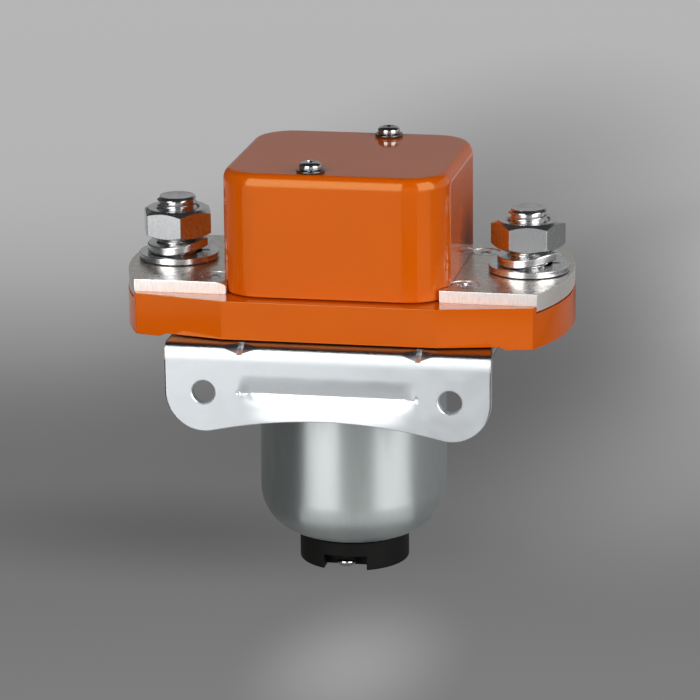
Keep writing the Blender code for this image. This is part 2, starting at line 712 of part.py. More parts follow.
def make_cover_screw(name, end):
    """A pan-head screw on its washer, down through the cover's post into the base."""
    axis = cover_screw_axis(end)
    washer_low = COVER_TOP + STACK_GAP
    head_low = washer_low + COVER_WASHER_THICKNESS + STACK_GAP
    ring("cover_screw_washer_" + name, COVER_SCREW_RADIUS + STACK_GAP, COVER_WASHER_RADIUS,
         washer_low, washer_low + COVER_WASHER_THICKNESS, PLATED, axis, SMALL_ROUND)
    tip = BASE_TOP - COVER_SCREW_GRIP
    profile = [*pan_head(COVER_HEAD_RADIUS, head_low, COVER_HEAD_HEIGHT),
               (COVER_SCREW_RADIUS, head_low), (COVER_SCREW_RADIUS, tip), (0.0, tip)]
    turned("cover_screw_" + name, profile, PLATED, axis, SMALL_ROUND)


def bracket_front_outline():
    """The upright's outline: two round lobes about the holes, joined by a shallow arch."""
    half = BRACKET_WIDTH / 2
    lobe_x = half - LOBE_RADIUS
    rise = MOUNT_HOLE_Z - ARCH_Z
    arch = (lobe_x ** 2 + rise ** 2 - LOBE_RADIUS ** 2) / (2 * (LOBE_RADIUS - rise))
    lean = math.degrees(math.asin(lobe_x / (arch + LOBE_RADIUS)))
    left = arc((-lobe_x, MOUNT_HOLE_Z), LOBE_RADIUS, 180, 270 + lean, 14)
    middle = arc((0.0, ARCH_Z - arch), arch, 90 + lean, 90 - lean, 12)
    right = arc((lobe_x, MOUNT_HOLE_Z), LOBE_RADIUS, 270 - lean, 360, 14)
    above = BASE_TOP
    return [(-half, above), *left, *middle[1:-1], *right, (half, above)]


def make_bracket():
    """The folded sheet bracket: a flange under the base and an upright with two holes."""
    inner = BEND_RADIUS - BRACKET_SHEET
    bend = (-BRACKET_FRONT + BEND_RADIUS, FLANGE_TOP - BEND_RADIUS)
    foot = MOUNT_HOLE_Z - LOBE_RADIUS - SEAT_GAP
    side_view = [(BRACKET_BACK, FLANGE_TOP), *arc(bend, BEND_RADIUS, 90, 180, 8),
                 (-BRACKET_FRONT, foot), (-BRACKET_FRONT + BRACKET_SHEET, foot),
                 *arc(bend, inner, 180, 90, 6), (BRACKET_BACK, FLANGE_LOW)]
    half = BRACKET_WIDTH / 2
    bracket = upright(prism("mounting_bracket", side_view, -half, half, ZINC), "X")

    depth = 2 * BRACKET_FRONT
    trim = upright(prism("bracket_trim", bracket_front_outline(), -depth, depth), "Y")
    combine(bracket, "INTERSECT", [trim])
    corners = rounded_rectangle(half + SEAT_GAP, BRACKET_BACK, FLANGE_CORNER, 6)
    plan = [(x, y) for x, y in corners if y > 0]
    plan += [(-half - SEAT_GAP, -depth), (half + SEAT_GAP, -depth)]
    combine(bracket, "INTERSECT", [prism("flange_trim", plan, 0.0, BASE_TOP + SEAT_GAP)])

    for name, side in SIDES:
        hole = cylinder("mount_hole_" + name, MOUNT_HOLE_DIAMETER / 2, -depth, depth, sides=32)
        hole.data.transform(Matrix.Rotation(math.radians(90), 4, "X"))
        hole.location = (side * MOUNT_HOLE_X, -BRACKET_FRONT, MOUNT_HOLE_Z)
        cut(bracket, hole)
    press_crease(bracket)
    for name, side in SIDES:
        press_gusset(bracket, name, side * GUSSET_X, bend)
    for number, axis in enumerate(bracket_screw_axes(), 1):
        cut(bracket, cylinder("flange_screw_hole_%d" % number, BRACKET_SCREW_RADIUS + SEAT_GAP,
                              FLANGE_LOW - SEAT_GAP, BASE_LOW, axis))
    cut(bracket, cylinder("flange_bore", FLANGE_BORE, FLANGE_LOW - SEAT_GAP, BASE_LOW))
    return bracket


def crease_roof(name, y, reach):
    """A long shallow roof, whose ridge lies reach behind the plane at y."""
    bm = bmesh.new()
    bmesh.ops.create_cube(bm, size=2.0)
    for vert in bm.verts:
        ridge = vert.co.y > 0
        vert.co.x *= CREASE_LENGTH / 2 - (CREASE_FLANK / 4 if ridge else 0.0)
        vert.co.z *= 0.0001 if ridge else CREASE_FLANK
        vert.co.z += MOUNT_HOLE_Z
        vert.co.y = y + (reach if ridge else 0.0)
    return from_bmesh(name, bm)


def press_crease(bracket):
    """The stiffening crease: a groove in the front and the ridge that it raises behind."""
    front = -BRACKET_FRONT
    overlap = CREASE_DEPTH / 4
    join(bracket, crease_roof("crease_ridge", front + BRACKET_SHEET - overlap,
                              CREASE_DEPTH + overlap))
    cut(bracket, crease_roof("crease_groove", front - overlap, CREASE_DEPTH + overlap))


def press_gusset(bracket, name, x, bend):
    """A short pressed gusset: a V across the outside of the bend, and a web inside it."""
    inner = BEND_RADIUS - BRACKET_SHEET
    leg = BRACKET_SHEET * 1.4
    corner = (bend[0] - inner - SEAT_GAP, bend[1] + inner + SEAT_GAP)
    web = [corner, (corner[0], corner[1] - leg - inner), (corner[0] + leg + inner, corner[1])]
    half = GUSSET_WIDTH / 2
    rib = upright(prism("gusset_web_" + name, web, x - half, x + half), "X")
    join(bracket, rib)

    length = BEND_RADIUS * math.sqrt(2.0)
    groove = box("gusset_groove_" + name, (-half, -length, -half), (half, length, half))
    groove.data.transform(Matrix.Rotation(math.radians(45), 4, "Y"))
    groove.data.transform(Matrix.Rotation(math.radians(45), 4, "X"))
    middle = BEND_RADIUS / 2 + half * 0.6
    groove.location = (x, bend[0] - middle, bend[1] + middle)
    cut(bracket, groove)


def make_bracket_screws():
    """The four screws that hold the bracket's flange up to the base."""
    for number, axis in enumerate(bracket_screw_axes(), 1):
        seat = FLANGE_LOW - SEAT_GAP
        tip = seat + BRACKET_SCREW_LENGTH
        head = pan_head(BRACKET_SCREW_HEAD, 0.0, BRACKET_SCREW_HEAD_HEIGHT)
        hanging = [(radius, seat - height) for radius, height in reversed(head)]
        profile = [(0.0, tip), (BRACKET_SCREW_RADIUS, tip), (BRACKET_SCREW_RADIUS, seat), *hanging]
        turned("bracket_screw_%d" % number, profile, PLATED, axis, SMALL_ROUND)


def make_can():
    """The deep-drawn can, with a hole for the core's screw and two for the coil posts."""
    corner = CAN_RADIUS - CAN_CORNER
    heart = CAN_BOTTOM + CAN_CORNER
    outer = [(CAN_RADIUS, CAN_TOP)] + arc((corner, heart), CAN_CORNER, 0, -90, 8)
    inner = arc((corner, heart), CAN_CORNER - CAN_SHEET, -90, 0, 6) + [(CAN_INNER, CAN_TOP)]
    hole = CAP_SCREW_RADIUS + SEAT_GAP
    profile = [*outer, (hole, CAN_BOTTOM), (hole, CAN_FLOOR), *inner]
    can = turned("solenoid_can", profile, CAN_ZINC)
    for name, end in ENDS:
        cut(can, cylinder("post_hole_" + name, POST_RADIUS + SEAT_GAP, CAN_BOTTOM - SEAT_GAP,
                          CAN_FLOOR + SEAT_GAP, (0.0, end * PIN_Y)))
    return can


def make_cap():
    """The terminal cap: two notches for the coil screws, and two posts into the can."""
    top = CAN_BOTTOM - SEAT_GAP
    hole = CAP_SCREW_RADIUS + SEAT_GAP
    mouth = CAP_SCREW_HEAD + SEAT_GAP
    flat = CAN_RADIUS - CAN_CORNER
    fillet = arc((CAP_RADIUS - CAP_FILLET, CAP_FILLET), CAP_FILLET, 0, -90, 5)
    profile = [(CAP_RADIUS, top + CAP_LIFT), *fillet, (mouth, 0.0), (mouth, HEAD_RIM + SEAT_GAP),
               (hole, HEAD_RIM + SEAT_GAP + mouth - hole), (hole, top), (flat, top)]
    cap = turned("terminal_cap", profile, BLACK)
    half = NOTCH_WIDTH / 2
    for name, end in ENDS:
        join(cap, cylinder("coil_post_" + name, POST_RADIUS, top - SEAT_GAP, top + POST_HEIGHT,
                           (0.0, end * PIN_Y)))
        tab_room = NOTCH_HEIGHT - TAB_THICKNESS - 2 * SEAT_GAP
        notch = box("notch_" + name, (-half, end * NOTCH_BACK, -SEAT_GAP),
                    (half, end * CAP_RADIUS * 1.5, NOTCH_HEIGHT))
        slot = box("tab_slot_" + name,
                   (-TAB_WIDTH / 2 - SEAT_GAP, end * (TAB_END_Y - SEAT_GAP), tab_room),
                   (TAB_WIDTH / 2 + SEAT_GAP, end * CAP_RADIUS, NOTCH_HEIGHT))
        screw = cylinder("coil_screw_hole_" + name, COIL_SCREW_RADIUS + SEAT_GAP, tab_room,
                         COIL_SCREW_LENGTH + NOTCH_HEIGHT - TAB_THICKNESS,
                         (0.0, end * COIL_SCREW_Y))
        pin = cylinder("pin_hole_" + name, PIN_RADIUS + SEAT_GAP, tab_room,
                       top + POST_HEIGHT + SEAT_GAP, (0.0, end * PIN_Y), sides=12)
        cut(cap, notch, slot, screw, pin)
    return cap


def make_coil_terminals():
    """Each coil terminal: a brass tab with a pin up to the bobbin, and its screw."""
    tab_top = NOTCH_HEIGHT - SEAT_GAP
    tab_low = tab_top - TAB_THICKNESS
    head_top = tab_low - STACK_GAP
    for name, end in ENDS:
        near, far = end * TAB_END_Y, end * (COIL_SCREW_Y + COIL_HEAD_RADIUS * 0.85)
        tab = box("coil_terminal_" + name, (-TAB_WIDTH / 2, near, tab_low),
                  (TAB_WIDTH / 2, far, tab_top), BRASS)
        pin_top = CAN_BOTTOM + POST_HEIGHT
        join(tab, cylinder("coil_pin_" + name, PIN_RADIUS, tab_low + TAB_THICKNESS / 2, pin_top,
                           (0.0, end * PIN_Y), sides=12))
        axis = (0.0, end * COIL_SCREW_Y)
        cut(tab, cylinder("tab_hole_" + name, COIL_SCREW_RADIUS + STACK_GAP, tab_low - SEAT_GAP,
                          tab_top + SEAT_GAP, axis))
        tip = head_top + COIL_SCREW_LENGTH
        head = pan_head(COIL_HEAD_RADIUS, 0.0, COIL_HEAD_HEIGHT)
        hanging = [(radius, head_top - height) for radius, height in reversed(head)]
        profile = [(0.0, tip), (COIL_SCREW_RADIUS, tip), (COIL_SCREW_RADIUS, head_top), *hanging]
        turned("coil_screw_" + name, profile, PLATED, axis, SMALL_ROUND)


def make_solenoid():
    """The fixed core, sleeve, bobbin, winding and yoke inside the can."""
    hole = CAP_SCREW_RADIUS + SEAT_GAP
    shoulder = CAN_BOTTOM + POST_HEIGHT + SEAT_GAP
    screw_end = CAN_FLOOR + CAP_SCREW_DEPTH
    bore_floor = FIXED_CORE_TOP - FIXED_BORE_DEPTH
    core = [(0.0, bore_floor), (SPRING_BORE, bore_floor), (SPRING_BORE, FIXED_CORE_TOP),
            (CORE_RADIUS, FIXED_CORE_TOP), (CORE_RADIUS, shoulder),
            (CORE_BOSS_RADIUS, shoulder), (CORE_BOSS_RADIUS, FIXED_CORE_LOW),
            (hole, FIXED_CORE_LOW), (hole, screw_end + SEAT_GAP), (0.0, screw_end + SEAT_GAP)]
    turned("fixed_core", core, IRON)
    make_cap_screw(screw_end)
    ring("guide_sleeve", SLEEVE_BORE, SLEEVE_RADIUS, shoulder, YOKE_TOP, BRASS)
    ring("yoke_plate", BOBBIN_BORE, CAN_INNER - SEAT_GAP, YOKE_LOW, YOKE_TOP, IRON)

    rest = CAN_BOTTOM + POST_HEIGHT + 3 * SEAT_GAP + SEAT_GAP
    lid = YOKE_LOW - SEAT_GAP
    wide = CAN_INNER - 2 * SEAT_GAP
    bobbin = [(wide, lid), (wide, lid - BOBBIN_FLANGE), (BOBBIN_TUBE, lid - BOBBIN_FLANGE),
              (BOBBIN_TUBE, rest + BOBBIN_FLANGE), (BOBBIN_LOWER_RADIUS, rest + BOBBIN_FLANGE),
              (BOBBIN_LOWER_RADIUS, rest), (BOBBIN_BORE, rest), (BOBBIN_BORE, lid)]
    turned("coil_bobbin", bobbin, NYLON)
    inner = BOBBIN_TUBE + SEAT_GAP
    ring("coil_winding", inner, inner + WINDING_DEPTH, rest + BOBBIN_FLANGE + SEAT_GAP,
         lid - BOBBIN_FLANGE - SEAT_GAP, COPPER)


def make_cap_screw(tip):
    """The screw up through the cap and the can into the fixed core, flush with the cap."""
    shank = HEAD_RIM + CAP_SCREW_HEAD - CAP_SCREW_RADIUS
    profile = [(0.0, tip), (CAP_SCREW_RADIUS, tip), (CAP_SCREW_RADIUS, shank),
               (CAP_SCREW_HEAD, HEAD_RIM), (CAP_SCREW_HEAD, 0.0), (0.0, 0.0)]
    turned("cap_screw", profile, PLATED, steps=SMALL_ROUND)


def make_plunger():
    """The pieces that the solenoid pulls down: core, shaft, spring seat and clip."""
    step = PLUNGER_LOW + PLUNGER_BORE_DEPTH
    core = [(SHAFT_BORE, PLUNGER_TOP), (CORE_RADIUS, PLUNGER_TOP), (CORE_RADIUS, PLUNGER_LOW),
            (SPRING_BORE, PLUNGER_LOW), (SPRING_BORE, step), (SHAFT_BORE, step)]
    plunger_core = turned("plunger_core", core, IRON)
    groove = SHAFT_RADIUS - CLIP_GROOVE
    foot = step + SEAT_GAP
    shaft = [(0.0, SHAFT_TOP), (SHAFT_RADIUS, SHAFT_TOP),
             (SHAFT_RADIUS, CLIP_LOW + CLIP_THICKNESS + SHUT_GAP),
             (groove, CLIP_LOW + CLIP_THICKNESS + SHUT_GAP), (groove, CLIP_LOW - SHUT_GAP),
             (SHAFT_RADIUS, CLIP_LOW - SHUT_GAP), (SHAFT_RADIUS, COLLAR_TOP),
             (COLLAR_RADIUS, COLLAR_TOP), (COLLAR_RADIUS, COLLAR_TOP - COLLAR_HEIGHT),
             (SHAFT_RADIUS, COLLAR_TOP - COLLAR_HEIGHT), (SHAFT_RADIUS, foot), (0.0, foot)]
    plunger_shaft = turned("plunger_shaft", shaft, STEEL, steps=SMALL_ROUND)
    seat = ring("spring_seat", SHAFT_BORE, SEAT_RADIUS, SEAT_LOW, SEAT_LOW + SEAT_THICKNESS, NYLON,
                steps=SMALL_ROUND)
    clip = ring("retaining_clip", groove + SHUT_GAP, CLIP_RADIUS, CLIP_LOW,
                CLIP_LOW + CLIP_THICKNESS, STEEL, steps=SMALL_ROUND)
    mouth = box("clip_mouth", (-groove, -2 * CLIP_RADIUS, CLIP_LOW - SEAT_GAP),
                (groove, 0.0, CLIP_LOW + CLIP_THICKNESS + SEAT_GAP))
    cut(clip, mouth)
    return plunger_core, plunger_shaft, seat, clip


def make_bridge():
    """The contact bridge with its two contacts and its insulating bush."""
    half_x, half_y = BRIDGE_LENGTH / 2, BRIDGE_WIDTH / 2
    outline = rounded_rectangle(half_x, half_y, half_y * 0.6, 5)
    bridge = prism("contact_bridge", outline, BRIDGE_LOW, BRIDGE_TOP, COPPER)
    cut(bridge, cylinder("bridge_hole", BUSH_RADIUS + SEAT_GAP, BRIDGE_LOW - SEAT_GAP,
                         BRIDGE_TOP + SEAT_GAP))
    moving = [bridge]
    for name, side in SIDES:
        moving.append(cylinder("moving_contact_" + name, MOVING_CONTACT_RADIUS,
                               MOVING_CONTACT_LOW, MOVING_CONTACT_LOW + MOVING_CONTACT_HEIGHT,
                               (side * CONTACT_X, 0.0), SILVER))
    flange_top = BRIDGE_LOW - SEAT_GAP
    flange_low = flange_top - BUSH_FLANGE_HEIGHT
    bush = [(BUSH_RADIUS, BRIDGE_TOP), (BUSH_RADIUS, flange_top), (BUSH_FLANGE_RADIUS, flange_top),
            (BUSH_FLANGE_RADIUS, flange_low), (SHAFT_BORE, flange_low), (SHAFT_BORE, BRIDGE_TOP)]
    moving.append(turned("bridge_bush", bush, NYLON, steps=SMALL_ROUND))
    return moving


def make_springs():
    coil_spring("return_spring", RETURN_SPRING_RADIUS, RETURN_SPRING_WIRE,
                FIXED_CORE_TOP - FIXED_BORE_DEPTH + SEAT_GAP,
                PLUNGER_LOW + PLUNGER_BORE_DEPTH - SEAT_GAP, RETURN_SPRING_TURNS, STEEL)
    coil_spring("contact_spring", CONTACT_SPRING_RADIUS, CONTACT_SPRING_WIRE, CONTACT_SPRING_LOW,
                CONTACT_SPRING_LOW + CONTACT_SPRING_HEIGHT, CONTACT_SPRING_TURNS, STEEL)


def carry(name, pieces):
    """Parent moving pieces to an empty on the slide's axis."""
    axis = bpy.data.objects.new(name, None)
    axis.empty_display_size = CAN_RADIUS
    PIECES.objects.link(axis)
    for piece in pieces:
        piece.parent = axis


def main():
    make_base()
    make_cover()
    for name, end in ENDS:
        make_cover_screw(name, end)
    make_terminal("left", -1, LEFT_NUT_TURN, LEFT_SPLIT_TURN)
    make_terminal("right", 1, RIGHT_NUT_TURN, RIGHT_SPLIT_TURN)
    make_bracket()
    make_bracket_screws()
    make_can()
    make_cap()
    make_coil_terminals()
    make_solenoid()
    make_springs()
    carry("plunger_axis", make_plunger())
    carry("bridge_axis", make_bridge())


main()
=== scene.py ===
"""Looks of the contactor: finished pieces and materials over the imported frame."""

import math

import bmesh
import bpy
from mathutils import Matrix, Vector


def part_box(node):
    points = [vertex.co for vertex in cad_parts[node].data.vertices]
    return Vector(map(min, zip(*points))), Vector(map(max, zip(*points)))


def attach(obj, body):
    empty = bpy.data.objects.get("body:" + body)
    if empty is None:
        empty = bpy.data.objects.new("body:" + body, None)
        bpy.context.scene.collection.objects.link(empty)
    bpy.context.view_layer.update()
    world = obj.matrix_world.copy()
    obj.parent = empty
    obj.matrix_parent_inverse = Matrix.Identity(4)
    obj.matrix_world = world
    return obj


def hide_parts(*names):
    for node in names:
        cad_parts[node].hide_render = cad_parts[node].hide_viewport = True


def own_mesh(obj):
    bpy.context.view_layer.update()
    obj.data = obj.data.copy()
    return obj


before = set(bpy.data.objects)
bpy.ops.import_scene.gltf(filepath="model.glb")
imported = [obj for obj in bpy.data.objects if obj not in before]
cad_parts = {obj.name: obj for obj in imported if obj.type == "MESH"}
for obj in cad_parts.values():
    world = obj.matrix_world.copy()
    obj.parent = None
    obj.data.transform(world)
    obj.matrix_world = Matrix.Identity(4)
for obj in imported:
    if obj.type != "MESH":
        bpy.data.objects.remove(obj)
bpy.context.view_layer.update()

SIDES = (("left", -1), ("right", 1))
ENDS = (("front", -1), ("back", 1))

# Sizes in metres and angles in degrees. SHOULDER_X is by side, the turns are by name.
BASE_HALF_LENGTH = 0.0556
BASE_HALF_WIDTH = 0.0300
BASE_END_HALF_WIDTH = 0.0252
BASE_END_RADIUS = 0.0520
BASE_FLAT_HALF = 0.0265
BASE_RECESS = 0.0634
FOOT_INNER_X = 0.0412
FOOT_SLOPE = 0.0017
FOOT_STEP = 0.0008
PLATE_HALF_WIDTH = 0.0234
PLATE_END_INSET = 0.0002
SHOULDER_X = {-1: 0.0267, 1: 0.0260}
TONGUE_HALF_WIDTH = 0.0150
TONGUE_END_X = 0.0090
POCKET_DEPTH = 0.0017
POCKET_GAP = 0.0002
PLATE_SCREW = (0.0310, 0.0165)
PLATE_SCREW_HOLE_LOW = 0.0656
SCREW_HOLE = 0.0023
STUD_HOLE = 0.0053
STUD_SEAT_TOP = 0.0681
STUD_X = 0.0442
STUD_RADIUS = 0.0050
THREAD_PITCH = 0.0015
THREAD_DEPTH = 0.00080
# Radius and sink of the rings in a stud's end
DISHED_END = ((0.0038, 0.00006), (0.0030, 0.00018), (0.0016, 0.00026))
NUT_FLATS = 0.0160
NUT_TURNS = {"left": 17.6, "right": 38.0}
SPLIT_TURNS = {"left": 12.0, "right": 11.0}
SPLIT_ANGLE = {"left": 24.0, "right": 36.0}
SPLIT_HEIGHT = 0.0021
WASHER_BORE = 0.0056
WASHER_OFFSET = 0.0003
COVER_CORNER = 0.0105
COVER_FILLET = 0.0022
COVER_FILLET_DROP = 0.0031
COVER_WALL = 0.0026
SLOT_GAP = 0.00012
COVER_SCREW = (0.0057, 0.02115)
LID_SCREW_HOLE = 0.0018
LID_SCREW_HOLE_LOW = 0.0659
COVER_LEFT = 0.0006
CAN_CORNER = 0.0121
CAN_SHEET = 0.0012
CAP_FILLET = 0.0005
NOTCH_HALF_WIDTH = 0.0054
NOTCH_HEIGHT = 0.0037
NOTCH_BACK = 0.0080
SHEET = 0.0025
BEND_RADIUS = 0.0020
MOUNT_HOLE = (0.0304, 0.0511)
MOUNT_HOLE_RADIUS = 0.0029
LOBE_RADIUS = 0.0099
ARCH_Z = 0.0447
FLANGE_CORNER = 0.0050
FLANGE_EASE = 0.0060
BRACKET_FRONT, BRACKET_BACK = -0.0342, 0.0250
BRACKET_SCREW = (0.032325, 0.0080)
BRACKET_SCREW_HOLE_TOP = 0.0690


# Mesh helpers

def place(name, data):
    piece = bpy.data.objects.new(name, data)
    bpy.context.scene.collection.objects.link(piece)
    return piece


def from_bmesh(name, bm):
    mesh = bpy.data.meshes.new(name)
    bmesh.ops.recalc_face_normals(bm, faces=bm.faces)
    bm.to_mesh(mesh)
    bm.free()
    return place(name, mesh)


def bake(piece):
    """Apply the piece's modifiers."""
    bpy.context.view_layer.update()
    evaluated = piece.evaluated_get(bpy.context.evaluated_depsgraph_get())
    mesh = bpy.data.meshes.new_from_object(evaluated)
    piece.modifiers.clear()
    piece.data = mesh


def combine(piece, operation, *tools):
    for tool in tools:
        step = piece.modifiers.new("step", "BOOLEAN")
        step.operation = operation
        step.solver = "EXACT"
        step.object = tool
    bake(piece)
    for tool in tools:
        bpy.data.objects.remove(tool, do_unlink=True)


def cut(piece, *tools):
    combine(piece, "DIFFERENCE", *tools)


def bevel(piece, width, segments=2, angle=35.0):
    step = piece.modifiers.new("bevel", "BEVEL")
    step.width = width
    step.segments = segments
    step.limit_method = "ANGLE"
    step.angle_limit = math.radians(angle)
    step.use_clamp_overlap = False
    bake(piece)


def polar(center, radius, angle):
    return center[0] + radius * math.cos(angle), center[1] + radius * math.sin(angle)


def arc(center, radius, start, end, steps):
    return [polar(center, radius, math.radians(start + (end - start) * i / steps))
            for i in range(steps + 1)]


def rectangle(left, right, near, far):
    return [(left, near), (right, near), (right, far), (left, far)]


def mirrored(position, side, end):
    return side * position[0], end * position[1]


def rounded_rectangle(half_x, half_y, radius, steps=16):
    inner_x, inner_y = half_x - radius, half_y - radius
    corners = ((inner_x, inner_y, 0), (-inner_x, inner_y, 90),
               (-inner_x, -inner_y, 180), (inner_x, -inner_y, 270))
    points = []
    for x, y, start in corners:
        points += arc((x, y), radius, start, start + 90, steps)
    return points


def loft(name, rings):
    """Rings of 3-D points joined into a solid, capped at both ends."""
    bm = bmesh.new()
    loops = [[bm.verts.new(point) for point in ring] for ring in rings]
    count = len(loops[0])
    bm.faces.new(loops[0])
    bm.faces.new(loops[-1])
    for lower, upper in zip(loops, loops[1:]):
        for i in range(count):
            j = (i + 1) % count
            bm.faces.new((lower[i], lower[j], upper[j], upper[i]))
    return from_bmesh(name, bm)


def prism(name, outline, low, high):
    return loft(name, [[(x, y, z) for x, y in outline] for z in (low, high)])


def lathe(name, profile, at=(0.0, 0.0), steps=96):
    """A (radius, height) profile turned about an upright axis. Radius 0 closes an end."""
    bm = bmesh.new()
    rings = []
    for radius, height in profile:
        turns = range(steps) if radius > 0.0 else (0,)
        rings.append([bm.verts.new((*polar(at, radius, 2 * math.pi * i / steps), height))
                      for i in turns])
    pairs = list(zip(rings, rings[1:]))
    if profile[0][0] > 0.0:
        pairs.append((rings[-1], rings[0]))
    for a, b in pairs:
        for i in range(steps):
            j = (i + 1) % steps
            if len(a) == 1:
                bm.faces.new((a[0], b[j], b[i]))
            elif len(b) == 1:
                bm.faces.new((a[i], a[j], b[0]))
            else:
                bm.faces.new((a[i], a[j], b[j], b[i]))
    return from_bmesh(name, bm)


def cylinder(name, radius, low, high, at=(0.0, 0.0), steps=64):
    return lathe(name, [(0.0, high), (radius, high), (radius, low), (0.0, low)], at, steps)


def round_ring(inner, outer, low, high, edge, steps=3):
    """The profile of a washer whose four edges are rounded."""
    corners = ((outer - edge, high - edge, 90, 0), (outer - edge, low + edge, 0, -90),
               (inner + edge, low + edge, -90, -180), (inner + edge, high - edge, 180, 90))
    points = []
    for radius, height, start, end in corners:
        points += arc((radius, height), edge, start, end, steps)
    return points


def finish(piece, look, node_name, angle=30.0):
    """Smooth shading with sharp edges, a material, and the piece's place in the frame."""
    mesh = piece.data
    mesh.polygons.foreach_set("use_smooth", [True] * len(mesh.polygons))
    mesh.set_sharp_from_angle(angle=math.radians(angle))
    step = piece.modifiers.new("normals", "WEIGHTED_NORMAL")
    step.weight = 100
    step.keep_sharp = True
    mesh.materials.clear()
    mesh.materials.append(look)
    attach(piece, "housing")
    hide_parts(node_name)


# Materials

def feed(tree, made, inputs):
    """Set a node's inputs, each to a value or to the output that feeds it."""
    for socket, value in inputs.items():
        if isinstance(value, bpy.types.NodeSocket):
            tree.links.new(value, made.inputs[socket])
        else:
            made.inputs[socket].default_value = value


def node(tree, kind, inputs=None, **values):
    made = tree.nodes.new("ShaderNode" + kind)
    for name, value in values.items():
        setattr(made, name, value)
    feed(tree, made, inputs or {})
    return made


def start_material(name, color, metallic, roughness):
    material = bpy.data.materials.new(name)
    material.use_nodes = True
    material.diffuse_color = (*color, 1.0)
    tree = material.node_tree
    shader = tree.nodes["Principled BSDF"]
    feed(tree, shader, {"Base Color": (*color, 1.0), "Metallic": metallic,
                        "Roughness": roughness})
    return material, tree, shader


def own_place(tree):
    """Where a point is in its object's own metres."""
    return node(tree, "TexCoord").outputs["Object"]


def axis(tree, vector, letter):
    return node(tree, "SeparateXYZ", {"Vector": vector}).outputs[letter]


def math_node(tree, operation, *values):
    return node(tree, "Math", dict(enumerate(values)), operation=operation).outputs[0]


def mix_values(tree, factor, first, second):
    return node(tree, "Mix", {0: factor, 2: first, 3: second}, data_type="FLOAT").outputs[0]


def grain(tree, scale, stretch=(1.0, 1.0, 1.0), detail=3.0):
    """Noise in the object's own metres. The scale is in features per metre."""
    mapping = node(tree, "Mapping", {"Vector": own_place(tree), "Scale": stretch})
    return node(tree, "TexNoise", {"Vector": mapping.outputs["Vector"], "Scale": scale,
                                   "Detail": detail}).outputs["Fac"]


def remap(tree, source, low, high, ends=(0.0, 1.0), kind="LINEAR"):
    """Map a range of values to another."""
    return node(tree, "MapRange", {"Value": source, "From Min": low, "From Max": high,
                                   "To Min": ends[0], "To Max": ends[1]},
                interpolation_type=kind).outputs["Result"]


def spread(tree, source, low=0.0, high=1.0):
    """Map noise, which lies round 0.5, to a range of values."""
    return remap(tree, source, 0.3, 0.7, (low, high))


def blend(tree, factor, *tones, kind="MIX"):
    """Two tones mixed. Each is a colour or the output that gives it."""
    first, second = ((*tone, 1.0) if isinstance(tone, tuple) else tone for tone in tones)
    return node(tree, "Mix", {0: factor, 6: first, 7: second}, data_type="RGBA",
                blend_type=kind).outputs[2]


def ramp(tree, source, tones, kind):
    """A grey that runs through stops, each a position and a tone."""
    made = node(tree, "ValToRGB", {"Fac": source})
    made.color_ramp.interpolation = kind
    stops = made.color_ramp.elements
    while len(stops) < len(tones):
        stops.new(0.5)
    for stop, (at, tone) in zip(stops, tones):
        stop.position = at
        stop.color = (tone, tone, tone, 1.0)
    return made.outputs["Color"]


def bump(tree, shader, source, distance, strength=1.0, chain=None):
    made = node(tree, "Bump", {"Height": source, "Distance": distance, "Strength": strength})
    if chain is not None:
        feed(tree, made, {"Normal": chain})
    feed(tree, shader, {"Normal": made.outputs["Normal"]})
    return made.outputs["Normal"]


def metal(name, color, roughness, variation, mottle=500.0, dark=0.85, depth=0.000004,
          fine=3000.0, stretch=(1.0, 1.0, 1.0)):
    """Metal whose tone and roughness vary a little, with a fine bump."""
    material, tree, shader = start_material(name, color, 1.0, roughness)
    blotches = grain(tree, mottle, stretch)
    darker = tuple(channel * dark for channel in color)
    feed(tree, shader, {
        "Base Color": blend(tree, spread(tree, blotches), darker, color),
        "Roughness": spread(tree, blotches, roughness + variation, roughness - variation)})
    bump(tree, shader, grain(tree, fine, stretch, 2.0), depth)
    return material


def upright_grain(material, amount):
    """Stretch highlights along Z, as the draw lines of a pressed can do."""
    tree = material.node_tree
    tangent = node(tree, "Tangent", direction_type="RADIAL", axis="Z")
    feed(tree, tree.nodes["Principled BSDF"], {
        "Tangent": tangent.outputs["Tangent"], "Anisotropic": amount,
        "Anisotropic Rotation": 0.25})


def orange_plastic():
    """High-gloss moulding with the faintest ripple."""
    material, tree, shader = start_material("orange_gloss", (0.597, 0.0925, 0.0004), 0.0, 0.10)
    feed(tree, shader, {
        "IOR": 1.5, "Specular Tint": (1.0, 1.0, 0.45, 1.0),
        "Base Color": blend(tree, spread(tree, grain(tree, 60.0)), (0.585, 0.0900, 0.0003),
                            (0.609, 0.0950, 0.0005))})
    bump(tree, shader, grain(tree, 90.0, detail=1.0), 0.000010, 0.25)
    return material


